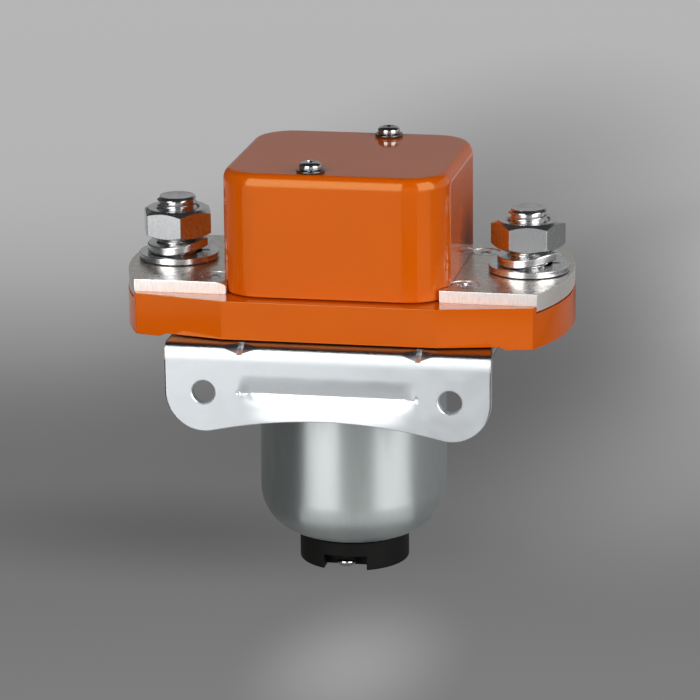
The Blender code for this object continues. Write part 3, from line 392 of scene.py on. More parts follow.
def tinned_plate():
    """Satin tin plating: fine-grained on the faces; on the edges vertical shear marks under a lighter
    tone, which is painted light.
    """
    material, tree, shader = start_material("tinned_copper_satin", (0.74, 0.70, 0.66), 1.0, 0.3)
    facing = axis(tree, node(tree, "NewGeometry").outputs["True Normal"], "Z")
    on_edge = math_node(tree, "LESS_THAN", math_node(tree, "ABSOLUTE", facing), 0.5)
    shear = grain(tree, 4200.0, (1.0, 1.0, 0.12), 2.0)
    face_tone = blend(tree, spread(tree, grain(tree, 700.0)), (0.66, 0.62, 0.58),
                      (0.80, 0.77, 0.73))
    # The edges' lighter tone is painted light; the shear grain on it is the edges' own.
    edge_painted_light_and_shear = blend(tree, spread(tree, shear), (0.84, 0.78, 0.74), (0.98, 0.95, 0.92))
    feed(tree, shader, {
        "Base Color": blend(tree, on_edge, face_tone, edge_painted_light_and_shear),
        "Roughness": mix_values(tree, on_edge, spread(tree, grain(tree, 500.0), 0.34, 0.24),
                                spread(tree, shear, 0.5, 0.38))})
    marks = bump(tree, shader, grain(tree, 5000.0, detail=2.0), 0.000004)
    bump(tree, shader, shear, 0.00003, 0.5, marks)
    return material


ORANGE = orange_plastic()
TIN = tinned_plate()
BRIGHT = metal("bright_plating", (0.77, 0.78, 0.79), 0.24, 0.04, mottle=900.0, dark=0.88,
               depth=0.0000008, fine=1500.0)
THREAD = metal("rolled_thread", (0.78, 0.78, 0.78), 0.20, 0.06, dark=0.8)
ZINC = metal("zinc_sheet", (0.86, 0.90, 0.93), 0.40, 0.05, mottle=220.0, dark=0.94,
             depth=0.000004, fine=2600.0)
CAN_ZINC = metal("zinc_can", (0.68, 0.73, 0.725), 0.34, 0.03, mottle=420.0, dark=0.90,
                 depth=0.000003, fine=2600.0, stretch=(1.0, 1.0, 0.25))
upright_grain(CAN_ZINC, 0.75)


def darken_bend_shade_and_stretch(material, low, high):
    """A bend above a height: darker, which is painted shade from the shaded base underside that it
    mirrors, and tool-rubbed smoother, with a coarser grain where the plating stretched.
    """
    tree = material.node_tree
    shader = tree.nodes["Principled BSDF"]
    tone, polish, marks = (shader.inputs[name].links[0].from_socket
                           for name in ("Base Color", "Roughness", "Normal"))
    above = remap(tree, axis(tree, own_place(tree), "Z"), low, high, kind="SMOOTHSTEP")
    share = math_node(tree, "MULTIPLY", grain(tree, 3600.0, detail=2.0), above)
    # The darker tone of the bend is painted shade.
    feed(tree, shader, {"Base Color": blend(tree, above, tone, (0.36, 0.38, 0.39)),
                        "Roughness": mix_values(tree, above, polish, 0.22)})
    bump(tree, shader, share, 0.00010, 0.7, marks)


darken_bend_shade_and_stretch(ZINC, 0.0613, 0.0626)
COPPER = metal("plain_copper", (0.72, 0.33, 0.18), 0.32, 0.06, dark=0.8)
SILVER = metal("silver_alloy", (0.80, 0.79, 0.75), 0.28, 0.05)
BRASS = metal("plain_brass", (0.74, 0.53, 0.22), 0.28, 0.05)
# Near-black brass for the tabs deep in the cap's notch: painted shade.
BRASS_IN_PAINTED_SHADE = metal("brass_darkened_as_painted_shade", (0.016, 0.013, 0.010), 0.5, 0.06)
DARK_PLATING = metal("dark_plating", (0.58, 0.59, 0.60), 0.12, 0.03)
GLINT = metal("glinting_screw", (0.62, 0.62, 0.63), 0.09, 0.02)
# The lid screws' washers, darkened as painted shade for the dark that they reflect under the heads.
WASHER_IN_PAINTED_SHADE = metal("washer_darkened_as_painted_shade", (0.15, 0.15, 0.16), 0.28, 0.04)
IRON = metal("soft_iron_plated", (0.42, 0.42, 0.43), 0.42, 0.06, dark=0.8)
STEEL = metal("spring_wire", (0.50, 0.51, 0.52), 0.28, 0.05)


def plastic(name, color, roughness, fine, depth):
    material, tree, shader = start_material(name, color, 0.0, roughness)
    shade = tuple(channel * 0.7 for channel in color)
    feed(tree, shader, {
        "Specular IOR Level": 0.2,
        "Base Color": blend(tree, spread(tree, grain(tree, 300.0)), shade, color)})
    bump(tree, shader, grain(tree, fine, detail=2.0), depth)
    return material


BLACK = plastic("black_matte", (0.0036, 0.0036, 0.0032), 0.55, 2200.0, 0.00001)
NYLON = plastic("nylon_matte", (0.75, 0.72, 0.62), 0.5, 1500.0, 0.000008)


# Orange mouldings

def end_arc(half_width, inset, steps=40):
    radius = BASE_END_RADIUS - inset
    center = BASE_HALF_LENGTH - BASE_END_RADIUS
    sweep = math.degrees(math.asin(half_width / radius))
    return arc((center, 0.0), radius, -sweep, sweep, steps)


def base_outline():
    right = end_arc(BASE_END_HALF_WIDTH, 0.0)
    left = [(-x, -y) for x, y in right]
    flat, side = BASE_FLAT_HALF, BASE_HALF_WIDTH
    return [(flat, -side), *right, (flat, side), (-flat, side), *left, (-flat, -side)]


def plate_outline(side, grow=0.0, open_end=False):
    half, tongue = PLATE_HALF_WIDTH + grow, TONGUE_HALF_WIDTH + grow
    shoulder, inner = SHOULDER_X[side] - grow, TONGUE_END_X - grow
    end = end_arc(half, PLATE_END_INSET - grow)
    if open_end:
        end = [(2 * BASE_HALF_LENGTH, -half), (2 * BASE_HALF_LENGTH, half)]
    points = [(inner, -tongue), (shoulder, -tongue), (shoulder, -half), *end,
              (shoulder, half), (shoulder, tongue), (inner, tongue)]
    return [(side * x, side * y) for x, y in points]


def hexagon(name, flats, low, high, at, turn=0.0):
    outline = [polar(at, flats / math.sqrt(3.0), math.radians(turn - 90 + 60 * i))
               for i in range(6)]
    return prism(name, outline, low, high)


def make_base():
    low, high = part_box("base")
    plate_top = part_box("terminal_plate_left")[1].z
    base = prism("base_moulding", base_outline(), low.z, high.z)
    foot_x, foot_z = FOOT_INNER_X + FOOT_SLOPE, low.z - FOOT_STEP
    step = [(-FOOT_INNER_X, BASE_RECESS), (-foot_x, low.z), (-foot_x, foot_z),
            (foot_x, foot_z), (foot_x, low.z), (FOOT_INNER_X, BASE_RECESS)]
    tools = [loft("recess", [[(x, y, z) for x, z in step] for y in (-0.06, 0.06)])]
    for _, side in SIDES:
        tools.append(prism("pocket", plate_outline(side, POCKET_GAP, True),
                           high.z - POCKET_DEPTH, plate_top + 0.002))
    cut(base, *tools)
    bevel(base, 0.0002, angle=9.0)
    below, above = 0.05, 0.09
    holes = [cylinder("hole", SCREW_HOLE, below, above)]
    for _, side in SIDES:
        at = (side * STUD_X, 0.0)
        holes.append(cylinder("hole", STUD_HOLE, below, above, at))
        holes.append(hexagon("seat", NUT_FLATS + 0.0006, below, STUD_SEAT_TOP, at))
        for _, end in ENDS:
            holes.append(cylinder("hole", SCREW_HOLE, PLATE_SCREW_HOLE_LOW, above,
                                  mirrored(PLATE_SCREW, side, end), 24))
            holes.append(cylinder("hole", SCREW_HOLE, below, BRACKET_SCREW_HOLE_TOP,
                                  mirrored(BRACKET_SCREW, side, end), 24))
    for _, end in ENDS:
        holes.append(cylinder("hole", LID_SCREW_HOLE, LID_SCREW_HOLE_LOW, above,
                              mirrored(COVER_SCREW, end, end), 24))
    cut(base, *holes)
    finish(base, ORANGE, "base")


def make_cover():
    """The shell: outer wall with its top fillet, then the ceiling and the inner wall."""
    low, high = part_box("cover")

    def ring(inset, z, wall=0.0):
        radius = max(COVER_CORNER - wall - inset, 0.0002)
        outline = rounded_rectangle(high.x - wall - inset, high.y - wall - inset, radius)
        return [(x - COVER_LEFT if x < 0 else x, y, z) for x, y in outline]

    edge, steps = 0.0002, 14
    rings = [ring(COVER_FILLET / 2, high.z - COVER_WALL, COVER_WALL),
             ring(0.0, high.z - COVER_WALL - COVER_FILLET / 2, COVER_WALL),
             ring(0.0, low.z, COVER_WALL), ring(edge, low.z), ring(0.0, low.z + edge)]
    for i in range(steps + 1):
        angle = math.pi / 2 * i / steps
        rings.append(ring(COVER_FILLET * (1 - math.cos(angle)),
                          high.z - COVER_FILLET_DROP * (1 - math.sin(angle))))
    rings.append(ring(COVER_FILLET + 0.001, high.z))
    cover = loft("cover_moulding", rings)
    slot_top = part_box("terminal_plate_left")[1].z + SLOT_GAP
    tools = [prism("slot", plate_outline(side, SLOT_GAP), low.z - 0.002, slot_top)
             for _, side in SIDES]
    tools += [cylinder("hole", LID_SCREW_HOLE, 0.09, 0.11, mirrored(COVER_SCREW, end, end), 32)
              for _, end in ENDS]
    cut(cover, *tools)
    finish(cover, ORANGE, "cover")


# Terminals

def cross_recess(at, top, reach, width, depth, turn, down=1.0):
    """Two tapered wings that cut a cross-head recess. down is -1 for a screw that points up."""
    wings = []
    for quarter in (0, 90):
        bm = bmesh.new()
        bmesh.ops.create_cube(bm, size=2.0)
        for vert in bm.verts:
            deep = vert.co.z < 0
            vert.co.x *= reach * (0.30 if deep else 0.5)
            vert.co.y *= width * (0.38 if deep else 0.5)
            vert.co.z = -depth if deep else 0.0006
        bmesh.ops.transform(bm, matrix=Matrix.Rotation(math.radians(turn + quarter), 4, "Z"),
                            verts=bm.verts)
        if down < 0:
            bmesh.ops.scale(bm, vec=(1, 1, -1), verts=bm.verts)
            bmesh.ops.reverse_faces(bm, faces=bm.faces)
        bmesh.ops.translate(bm, vec=(at[0], at[1], top), verts=bm.verts)
        wings.append(from_bmesh("cross", bm))
    return wings


def die_roll(end_x, edge_y, top):
    """A cutter that rounds a plate's top over towards one corner, and fades inwards."""
    reach, drop, fade = 0.0042, 0.0013, 0.0026
    rings = []
    for j in range(9):
        inward = -0.0005 + (fade + 0.0005) * j / 8
        depth = drop * max(0.0, 1 - max(inward, 0.0) / fade) ** 1.5
        lower = []
        for i in range(15):
            share = 1.12 * i / 14
            fall = depth * (1 - math.sqrt(max(0.0, 1 - min(share, 1.0) ** 2)))
            lower.append((end_x - reach + reach * share, edge_y + inward, top + 0.00002 - fall))
        upper = [(x, y, top + 0.001) for x, y, _ in (lower[-1], lower[0])]
        rings.append(lower + upper)
    return loft("roll", rings)


def make_plate(name, side):
    low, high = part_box("terminal_plate_" + name)
    below, above = low.z - 0.001, high.z + 0.001
    plate = prism("plate_" + name, plate_outline(side), low.z, high.z)
    tools = [cylinder("hole", STUD_HOLE, below, above, (side * STUD_X, 0.0))]
    mouth, foot = 0.0038, high.z - 0.0006
    profile = [(0.0, above), (mouth, above), (mouth, foot), (SCREW_HOLE, foot - mouth + SCREW_HOLE),
               (SCREW_HOLE, below), (0.0, below)]
    tools += [lathe("sink", profile, mirrored(PLATE_SCREW, side, end), 64) for _, end in ENDS]
    cut(plate, *tools)
    bevel(plate, 0.00018)
    if side < 0:
        cut(plate, die_roll(-SHOULDER_X[-1], -PLATE_HALF_WIDTH, high.z))
    finish(plate, TIN, "terminal_plate_" + name)


def make_plate_screw(name, side, end_name, end, turn):
    name += "_" + end_name
    low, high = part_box("plate_screw_" + name)
    at = mirrored(PLATE_SCREW, side, end)
    head, shank, edge = 0.0035, 0.0020, 0.00012
    top = high.z
    profile = [(0.0, top), (head - edge, top), (head, top - edge), (head, top - 0.0003),
               (shank, top - 0.0003 - head + shank), (shank, low.z + 0.0004),
               (shank - 0.0004, low.z), (0.0, low.z)]
    screw = lathe("countersunk_screw_" + name, profile, at, 64)
    cut(screw, *cross_recess(at, top, 0.0040, 0.0010, 0.0018, turn))
    bevel(screw, 0.00006, 1, 40)
    finish(screw, BRIGHT, "plate_screw_" + name)


def make_stud(name, side):
    """A stud with a rolled thread, whose crests fade out over its chamfered end."""
    low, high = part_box("stud_" + name)
    at = (side * STUD_X, 0.0)
    head_top = low.z + 0.0046
    start, end = head_top - 0.001, high.z
    steps, per_pitch = 72, 10
    chamfer = 0.0007
    rings = []
    rows = int((end - start) / THREAD_PITCH * per_pitch)
    for row in range(rows + 1):
        z = start + (end - start) * row / rows
        limit = STUD_RADIUS - max(0.0, chamfer - (end - z))
        ring = []
        for i in range(steps):
            turn = i / steps
            phase = (z / THREAD_PITCH - turn) % 1.0
            flank = abs(2 * phase - 1.0)
            crest = min(max(flank * 1.35 - 0.12, 0.0), 1.0)
            radius = min(STUD_RADIUS - THREAD_DEPTH * (1.0 - crest), limit)
            ring.append((*polar(at, radius, 2 * math.pi * turn), z))
        rings.append(ring)
    for radius, sink in DISHED_END:
        dish = arc(at, radius, 0, 360 - 360 / steps, steps - 1)
        rings.append([(x, y, end - sink) for x, y in dish])
    shank = loft("shank", rings)
    stud = hexagon("stud_%s_threaded" % name, NUT_FLATS, low.z, head_top, at)
    bevel(stud, 0.0003)
    combine(stud, "UNION", shank)
    finish(stud, THREAD, "stud_" + name, 50)


def make_flat_washer(name, side):
    low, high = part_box("flat_washer_" + name)
    at = (side * STUD_X + WASHER_OFFSET, 0.0)
    section = round_ring(WASHER_BORE, 0.0100, low.z, high.z, 0.00018)
    finish(lathe("washer_" + name, section, at, 128), BRIGHT, "flat_washer_" + name)


def make_spring_washer(name, side):
    """A split ring whose free end climbs."""
    low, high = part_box("spring_washer_" + name)
    at = (side * STUD_X + WASHER_OFFSET, 0.0)
    section = round_ring(WASHER_BORE, 0.0079, 0.0, SPLIT_HEIGHT, 0.00035)
    climb = (high.z - low.z) - SPLIT_HEIGHT
    steps = 110
    rings = []
    for i in range(steps + 1):
        share = i / steps
        angle = math.radians(SPLIT_TURNS[name] + share * (360 - SPLIT_ANGLE[name]))
        lift = climb * smooth((share - 0.70) / 0.30)
        rings.append([(*polar(at, radius, angle), low.z + z + lift) for radius, z in section])
    finish(loft("split_washer_" + name, rings), BRIGHT, "spring_washer_" + name, 40)


def make_nut(name, side):
    low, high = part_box("nut_" + name)
    below, above = low.z - 0.001, high.z + 0.001
    at = (side * STUD_X, 0.0)
    nut = hexagon("hex_nut_" + name, NUT_FLATS, low.z, high.z, at, NUT_TURNS[name])
    bevel(nut, 0.00032, 3)
    corner = NUT_FLATS / math.sqrt(3.0) + 0.0003
    land = NUT_FLATS / 2 * 0.91
    drop = (corner - land) * math.tan(math.radians(30))
    cone = [(0.0, above), (land, above), (land, high.z), (corner, high.z - drop),
            (corner, low.z + drop), (land, low.z), (land, below), (0.0, below)]
    combine(nut, "INTERSECT", lathe("cone", cone, at, 180))
    bore, mouth = 0.00515, 0.0066
    flare = [(0.0, above), (mouth, above), (bore, above - (mouth - bore)), (bore, below),
             (0.0, below)]
    cut(nut, lathe("bore", flare, at, 96))
    finish(nut, BRIGHT, "nut_" + name, 20)


def pan_profile(radius, low, height, shank, tip, rim=0.00012):
    """A pan head with a domed top, and its shank down to the tip."""
    crown, flat = height * 0.58, radius * 0.42
    points = [(0.0, low + height)]
    steps = 10
    for i in range(steps + 1):
        angle = math.pi / 2 * i / steps
        points.append((flat + (radius - flat) * math.sin(angle),
                       low + height - crown * (1 - math.cos(angle))))
    points += arc((radius - rim, low + rim), rim, 0, -90, 6)
    return points + [(shank, low), (shank, tip), (0.0, tip)]


def turned_screw(node_name, name, profile, at, recess, turn, look=BRIGHT, down=1.0):
    """A screw with a cross recess in its head. down is -1 for a screw that points up."""
    low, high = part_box(node_name)
    screw = lathe(name, profile, at, 64)
    cut(screw, *cross_recess(at, high.z if down > 0 else low.z, *recess, turn, down))
    finish(screw, look, node_name, 35)


def hanging_profile(node_name, radius, height, shank, **rim):
    """A pan-head screw that points up, with its head at the foot of the node's box."""
    low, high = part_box(node_name)
    seat = low.z + height
    profile = pan_profile(radius, 0.0, height, shank, -(high.z - seat), **rim)
    return [(radius, seat - z) for radius, z in profile]


def make_cover_screw(name, end, turn):
    at = mirrored(COVER_SCREW, end, end)
    washer_name, screw_name = "cover_screw_washer_" + name, "cover_screw_" + name
    low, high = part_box(washer_name)
    section = round_ring(0.0017, 0.0035, low.z, high.z, 0.00015)
    finish(lathe("lid_washer_" + name, section, at, 64), WASHER_IN_PAINTED_SHADE, washer_name)
    tip, top = (corner.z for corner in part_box(screw_name))
    seat = high.z + 0.0002
    profile = pan_profile(0.0028, seat, top - seat, 0.0015, tip)
    turned_screw(screw_name, "lid_screw_" + name, profile, at, (0.0030, 0.0009, 0.0013), turn,
                 DARK_PLATING)


# Bracket

def bracket_lengths():
    """How far along the flat pattern the grid's rows lie, from the flange's end to the crease."""
    bend_y, bend_z = BRACKET_FRONT + BEND_RADIUS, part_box("mounting_bracket")[1].z - BEND_RADIUS
    flange = [BRACKET_BACK - (BRACKET_BACK - bend_y - 0.006) * i / 10 for i in range(10)]
    flange += [bend_y + 0.006 - 0.0005 * i for i in range(8)]
    flange += [bend_y + 0.002 - 0.0002 * i for i in range(10)]
    lengths = [BRACKET_BACK - y for y in flange]
    length = BRACKET_BACK - bend_y
    quarter, steps = BEND_RADIUS * math.pi / 2, 26
    lengths += [length + quarter * i / steps for i in range(steps + 1)]
    length += quarter
    fine, coarse = 0.0001, 0.0003
    z = bend_z
    while z - coarse > MOUNT_HOLE[1] + fine:
        z -= fine if z < MOUNT_HOLE[1] + 0.0012 else coarse
        lengths.append(length + bend_z - z)
    lengths.append(length + bend_z - MOUNT_HOLE[1])
    return lengths, length, bend_z


def smooth(t):
    t = min(max(t, 0.0), 1.0)
    return t * t * (3 - 2 * t)


CREASE_HALF = 0.0221
CREASE_DEPTH = 0.00104
# Reach of the pressed slope and how fast it fades, above and below the line
CREASE_ABOVE, CREASE_BELOW = (0.0048, 1.7), (0.0068, 1.25)
LINE_HALF, LINE_DEPTH = 0.0004, 0.00012
# Place from the crease's middle and half size of the mark at each end
CREASE_MARKS = (((-0.0217, 0.0001), (0.0007, 0.0007)), ((0.0222, 0.0004), (0.0005, 0.0010)))
MARK_DEPTH = 0.00045
GUSSETS = (-0.0213, 0.0226)
GUSSET_REACH = 0.00240
GUSSET_START = 0.00121
GUSSET_SPREAD = 0.0044
SLOT_HALF = 0.0006
SLOT_BACK, SLOT_SINK = 0.0032, 0.0013
LEFT_TRIM = 0.0004
FLANGE_TAPER, TAPER_LENGTH = 0.025, 0.005
BOW_SLOPE, BOW_REACH = 0.16, 0.0021


def crease_depth(x, z):
    """How far back the pressed crease sets the upright sheet."""
    inside = CREASE_HALF - abs(x)
    off = z - MOUNT_HOLE[1]
    width, power = CREASE_ABOVE if off >= 0 else CREASE_BELOW
    slope = max(0.0, 1 - abs(off) / width) ** power
    line = max(0.0, 1 - abs(off) / LINE_HALF)
    fade = 0.0036 + 0.0056 * smooth(-off / 0.0035)
    depth = smooth(inside / fade) * slope * CREASE_DEPTH
    depth += smooth(inside / 0.0006) * line * LINE_DEPTH
    for at, size in CREASE_MARKS:
        away = ((x - at[0]) / size[0]) ** 2 + ((off - at[1]) / size[1]) ** 2
        depth += MARK_DEPTH * max(0.0, 1 - away) ** 2
    return depth


def gusset_depth(x, back, down):
    """How far a gusset pushes the sheet in at 45 degrees: a wide V, and a slot with a back wall."""
    half = math.sqrt(0.5)
    along, now = (down - back) * half, (down + back) * half
    deepest = 0.0
    for at in GUSSETS:
        off = abs(x - at)
        if off > 0.005:
            continue
        narrow = max(0.0, 1 - off / GUSSET_SPREAD) ** 1.5
        vee = (GUSSET_START + (GUSSET_REACH - GUSSET_START) * narrow) * half - now
        if vee > 0.0:
            deepest = max(deepest, vee * vee / (vee + 0.0001))
        top, foot, tip = -SLOT_BACK * half, (SLOT_SINK - SLOT_BACK) * half, GUSSET_REACH * half
        slot = 0.0
        if top < along < foot:
            slot = -top + (along - top) - now
        elif foot <= along < tip:
            share = (along - foot) / (tip - foot)
            slot = (SLOT_SINK + SLOT_BACK) * half * (1 - share) + tip * share - now
        edge = smooth((SLOT_HALF + 0.0001 - off) / 0.0002)
        deepest = max(deepest, edge * slot)
    return deepest


def bow(over):
    """How far back the sheet leans where its upright part eases into the bend."""
    if over <= 0:
        return 0.0
    if over < BOW_REACH:
        return BOW_SLOPE * over * over / (2 * BOW_REACH)
    return BOW_SLOPE * (over - BOW_REACH / 2)


def neighbour(outline, k, way):
    """The nearest point of a closed outline, one way from point k, that stands apart from it."""
    step = way
    while (Vector(outline[(k + step) % len(outline)]) - Vector(outline[k])).length < 1e-5:
        step += way
    return Vector(outline[(k + step) % len(outline)])


def make_bracket():
    """The sheet as a grid on its flat pattern, folded, pressed, and given its thickness."""
    rows, flat_start, bend_z = bracket_lengths()
    front = BRACKET_FRONT
    half = MOUNT_HOLE[0] + LOBE_RADIUS
    lobe_x = half - LOBE_RADIUS
    rise = MOUNT_HOLE[1] - ARCH_Z
    arch = (lobe_x ** 2 + rise ** 2 - LOBE_RADIUS ** 2) / (2 * (LOBE_RADIUS - rise))
    touch_x = lobe_x * arch / (arch + LOBE_RADIUS)

    # Columns are finer at the gussets and at the ends of the crease
    columns = []
    x = 0.0
    while x < touch_x:
        columns.append(x)
        x += 0.0001 if 0.0204 < x < 0.0234 else (0.0003 if 0.0178 < x < 0.0262 else 0.0008)
    start = math.asin((touch_x - lobe_x) / LOBE_RADIUS)
    steps = 40
    for i in range(steps + 1):
        columns.append(lobe_x + LOBE_RADIUS * math.sin(start + (math.pi / 2 - start) * i / steps))
    columns = [-x for x in reversed(columns[1:])] + columns

    def bottom(x):
        x = abs(x)
        if x <= touch_x:
            return ARCH_Z - arch + math.sqrt(arch ** 2 - x ** 2)
        return MOUNT_HOLE[1] - math.sqrt(max(LOBE_RADIUS ** 2 - (x - lobe_x) ** 2, 0.0))

    def top_length(x):
        over = abs(x) - (half - FLANGE_CORNER)
        if over <= 0:
            return 0.0
        return FLANGE_CORNER - math.sqrt(max(FLANGE_CORNER ** 2 - over ** 2, 0.0))

    lower_rows = 20
    table = []
    for x in columns:
        lengths = []
        for length in rows:
            if length < FLANGE_EASE:
                start = top_length(x)
                length = start + (FLANGE_EASE - start) * length / FLANGE_EASE
            lengths.append(length)
        drop = MOUNT_HOLE[1] - bottom(x)
        for i in range(1, lower_rows + 1):
            lengths.append(rows[-1] + drop * (i / lower_rows) ** 1.5)
        table.append(lengths)
    count_x, count_y = len(columns), len(table[0])

    def fold(x, length, depth):
        """A point of the flat pattern, a depth below the outer face, on the folded sheet."""
        flat_end = flat_start - BEND_RADIUS * math.pi / 2
        crease = 0.0
        if length <= flat_end:
            point, normal = (BRACKET_BACK - length, bend_z + BEND_RADIUS), (0.0, 1.0)
        elif length <= flat_start:
            angle = math.pi / 2 + (length - flat_end) / BEND_RADIUS
            normal = (math.cos(angle), math.sin(angle))
            point = (front + BEND_RADIUS + BEND_RADIUS * normal[0],
                     bend_z + BEND_RADIUS * normal[1])
        else:
            point, normal = (front, bend_z - (length - flat_start)), (-1.0, 0.0)
            crease = crease_depth(x, point[1])
        gusset = gusset_depth(x, point[0] - front, bend_z + BEND_RADIUS - point[1])
        if x > 0:
            x *= 1 - FLANGE_TAPER * smooth((flat_end - length) / TAPER_LENGTH)
        else:
            x += LEFT_TRIM * smooth((-x - MOUNT_HOLE[0]) / LOBE_RADIUS)
        slant = gusset * math.sqrt(0.5)
        lean = bow(point[1] - bend_z + BOW_REACH)
        return (x, point[0] - normal[0] * depth + crease + slant + lean,
                point[1] - normal[1] * depth - slant)

    border = [(i, 0) for i in range(count_x)]
    border += [(count_x - 1, j) for j in range(1, count_y)]
    border += [(i, count_y - 1) for i in range(count_x - 2, -1, -1)]
    border += [(0, j) for j in range(count_y - 2, 0, -1)]
    flat = {(i, j): (x, length) for i, x in enumerate(columns)
            for j, length in enumerate(table[i])}
    rim = [flat[key] for key in border]
    edge = 0.00022
    inset = {}
    for k, key in enumerate(border):
        along = (neighbour(rim, k, 1) - neighbour(rim, k, -1)).normalized()
        inset[key] = (rim[k][0] - along.y * edge, rim[k][1] + along.x * edge)
    bm = bmesh.new()

    def sheet(depth):
        verts = {}
        for key, place_at in flat.items():
            x, length = inset.get(key, place_at)
            verts[key] = bm.verts.new(fold(x, length, depth))
        for i in range(count_x - 1):
            for j in range(count_y - 1):
                bm.faces.new((verts[i, j], verts[i + 1, j], verts[i + 1, j + 1], verts[i, j + 1]))
        return [verts[key] for key in border]

    outer, inner = sheet(0.0), sheet(SHEET)
    loops = [outer]
    for depth in (edge, SHEET - edge):
        loops.append([bm.verts.new(fold(x, length, depth)) for x, length in rim])
    loops.append(inner)
    for first, second in zip(loops, loops[1:]):
        for k in range(len(border)):
            m = (k + 1) % len(border)
            bm.faces.new((first[k], first[m], second[m], second[k]))
    bmesh.ops.remove_doubles(bm, verts=bm.verts, dist=0.000004)
    bracket = from_bmesh("bracket_sheet", bm)

    tools = []
    for _, side in SIDES:
        radius, chamfer, reach = MOUNT_HOLE_RADIUS, 0.00025, 0.002
        wide = radius + chamfer + reach
        profile = [(0.0, reach), (wide, reach), (radius, -chamfer), (radius, -SHEET + chamfer),
                   (wide, -SHEET - reach), (0.0, -SHEET - reach)]
        hole = lathe("hole", profile, steps=72)
        hole.data.transform(Matrix.Rotation(math.radians(90), 4, "X"))
        hole.data.transform(Matrix.Translation((side * MOUNT_HOLE[0], front, MOUNT_HOLE[1])))
        tools.append(hole)
    tools.append(cylinder("bore", 0.0045, 0.058, 0.066))
    tools += [cylinder("hole", SCREW_HOLE, 0.058, 0.066, mirrored(BRACKET_SCREW, side, end), 32)
              for _, side in SIDES for _, end in ENDS]
    cut(bracket, *tools)
    finish(bracket, ZINC, "mounting_bracket", 26)


def make_bracket_screws():
    places = [mirrored(BRACKET_SCREW, side, end) for _, side in SIDES for _, end in ENDS]
    for number, at in enumerate(places, 1):
        node_name = "bracket_screw_%d" % number
        turned_screw(node_name, "flange_screw_%d" % number,
                     hanging_profile(node_name, 0.0040, 0.0024, 0.0020), at,
                     (0.0042, 0.0011, 0.0015), 20.0 * number, down=-1.0)


# Can and cap

def make_can():
    low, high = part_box("solenoid_can")
    radius = high.x
    corner = (radius - CAN_CORNER, low.z + CAN_CORNER)
    profile = [(SCREW_HOLE, low.z), (SCREW_HOLE, low.z + CAN_SHEET)]
    profile += arc(corner, CAN_CORNER - CAN_SHEET, -90, 0, 20)
    profile += [(radius - CAN_SHEET, high.z), (radius, high.z)]
    profile += arc(corner, CAN_CORNER, 0, -90, 28)
    finish(lathe("drawn_can", profile, steps=160), CAN_ZINC, "solenoid_can")


def make_cap():
    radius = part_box("terminal_cap")[1].x
    can_low, can_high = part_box("solenoid_can")
    top = can_low.z - 0.0003
    mouth, rim = 0.0041, 0.0006
    profile = [(can_high.x - CAN_CORNER, top), (radius - 0.0002, top + 0.00025), (radius, top)]
    profile += arc((radius - CAP_FILLET, CAP_FILLET), CAP_FILLET, 0, -90, 8)
    profile += [(mouth, 0.0), (mouth, rim), (SCREW_HOLE, rim + mouth - SCREW_HOLE),
                (SCREW_HOLE, top)]
    cap = lathe("cap_moulding", profile, steps=128)
    half = NOTCH_HALF_WIDTH
    cut(cap, *[prism("notch", rectangle(-half, half, end * NOTCH_BACK, end * 0.02), -0.001,
                     NOTCH_HEIGHT) for _, end in ENDS])
    bevel(cap, 0.0002, 2, 40)
    finish(cap, BLACK, "terminal_cap")


def make_coil_terminals():
    """On each side a tab with its pin, and the screw in it."""
    for name, end in ENDS:
        tab_node, screw_node = "coil_terminal_" + name, "coil_screw_" + name
        low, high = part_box(tab_node)
        at = (0.0, end * 0.0108)
        tab = prism("coil_tab_" + name, rectangle(-0.0027, 0.0027, end * 0.0063, end * 0.01301),
                    low.z, NOTCH_HEIGHT - 0.0003)
        bevel(tab, 0.00012, 2)
        cut(tab, cylinder("hole", 0.0017, 0.0, 0.005, at, 32))
        pin = cylinder("pin", 0.0007, low.z + 0.0002, high.z, (0.0, end * 0.0072), 24)
        combine(tab, "UNION", pin)
        finish(tab, BRASS_IN_PAINTED_SHADE, tab_node)
        turned_screw(screw_node, "tab_screw_" + name,
                     hanging_profile(screw_node, 0.0023, 0.0018, 0.0015, rim=0.0007), at,
                     (0.0028, 0.0009, 0.0011), 30.0, GLINT, -1.0)


def make_cap_screw():
    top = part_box("cap_screw")[1].z
    head, shank, rim = 0.0038, 0.0020, 0.0003
    profile = [(0.0, top), (shank, top), (shank, rim + head - shank), (head, rim),
               (head, 0.0001), (head - 0.0001, 0.0), (0.0, 0.0)]
    turned_screw("cap_screw", "core_screw", profile, (0.0, 0.0), (0.0042, 0.0011, 0.0018), 20.0,
                 down=-1.0)


# Inner pieces keep the CAD shape

INNER = {
    "fixed_contact_left": SILVER, "fixed_contact_right": SILVER,
    "moving_contact_left": SILVER, "moving_contact_right": SILVER,
    "contact_bridge": COPPER, "coil_winding": COPPER, "guide_sleeve": BRASS,
    "fixed_core": IRON, "yoke_plate": IRON, "plunger_core": IRON,
    "plunger_shaft": STEEL, "retaining_clip": STEEL,
    "coil_bobbin": NYLON, "spring_seat": NYLON, "bridge_bush": NYLON,
}
PLUNGER_TRAVEL, BRIDGE_TRAVEL = 0.0042, 0.0030


def dress_inner_pieces():
    for name, look in INNER.items():
        for place_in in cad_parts[name].material_slots:
            place_in.link = "OBJECT"
            place_in.material = look


def make_springs():
    """The springs' wires, copied from the frame's springs."""
    for name, low_travel in (("return_spring", 0.0), ("contact_spring", BRIDGE_TRAVEL)):
        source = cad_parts[name]
        wire = place(name + "_wire", source.data.copy())
        wire.data.transform(source.matrix_world)
        finish(wire, STEEL, name, 60)
        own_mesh(wire)


# Floor, light and camera

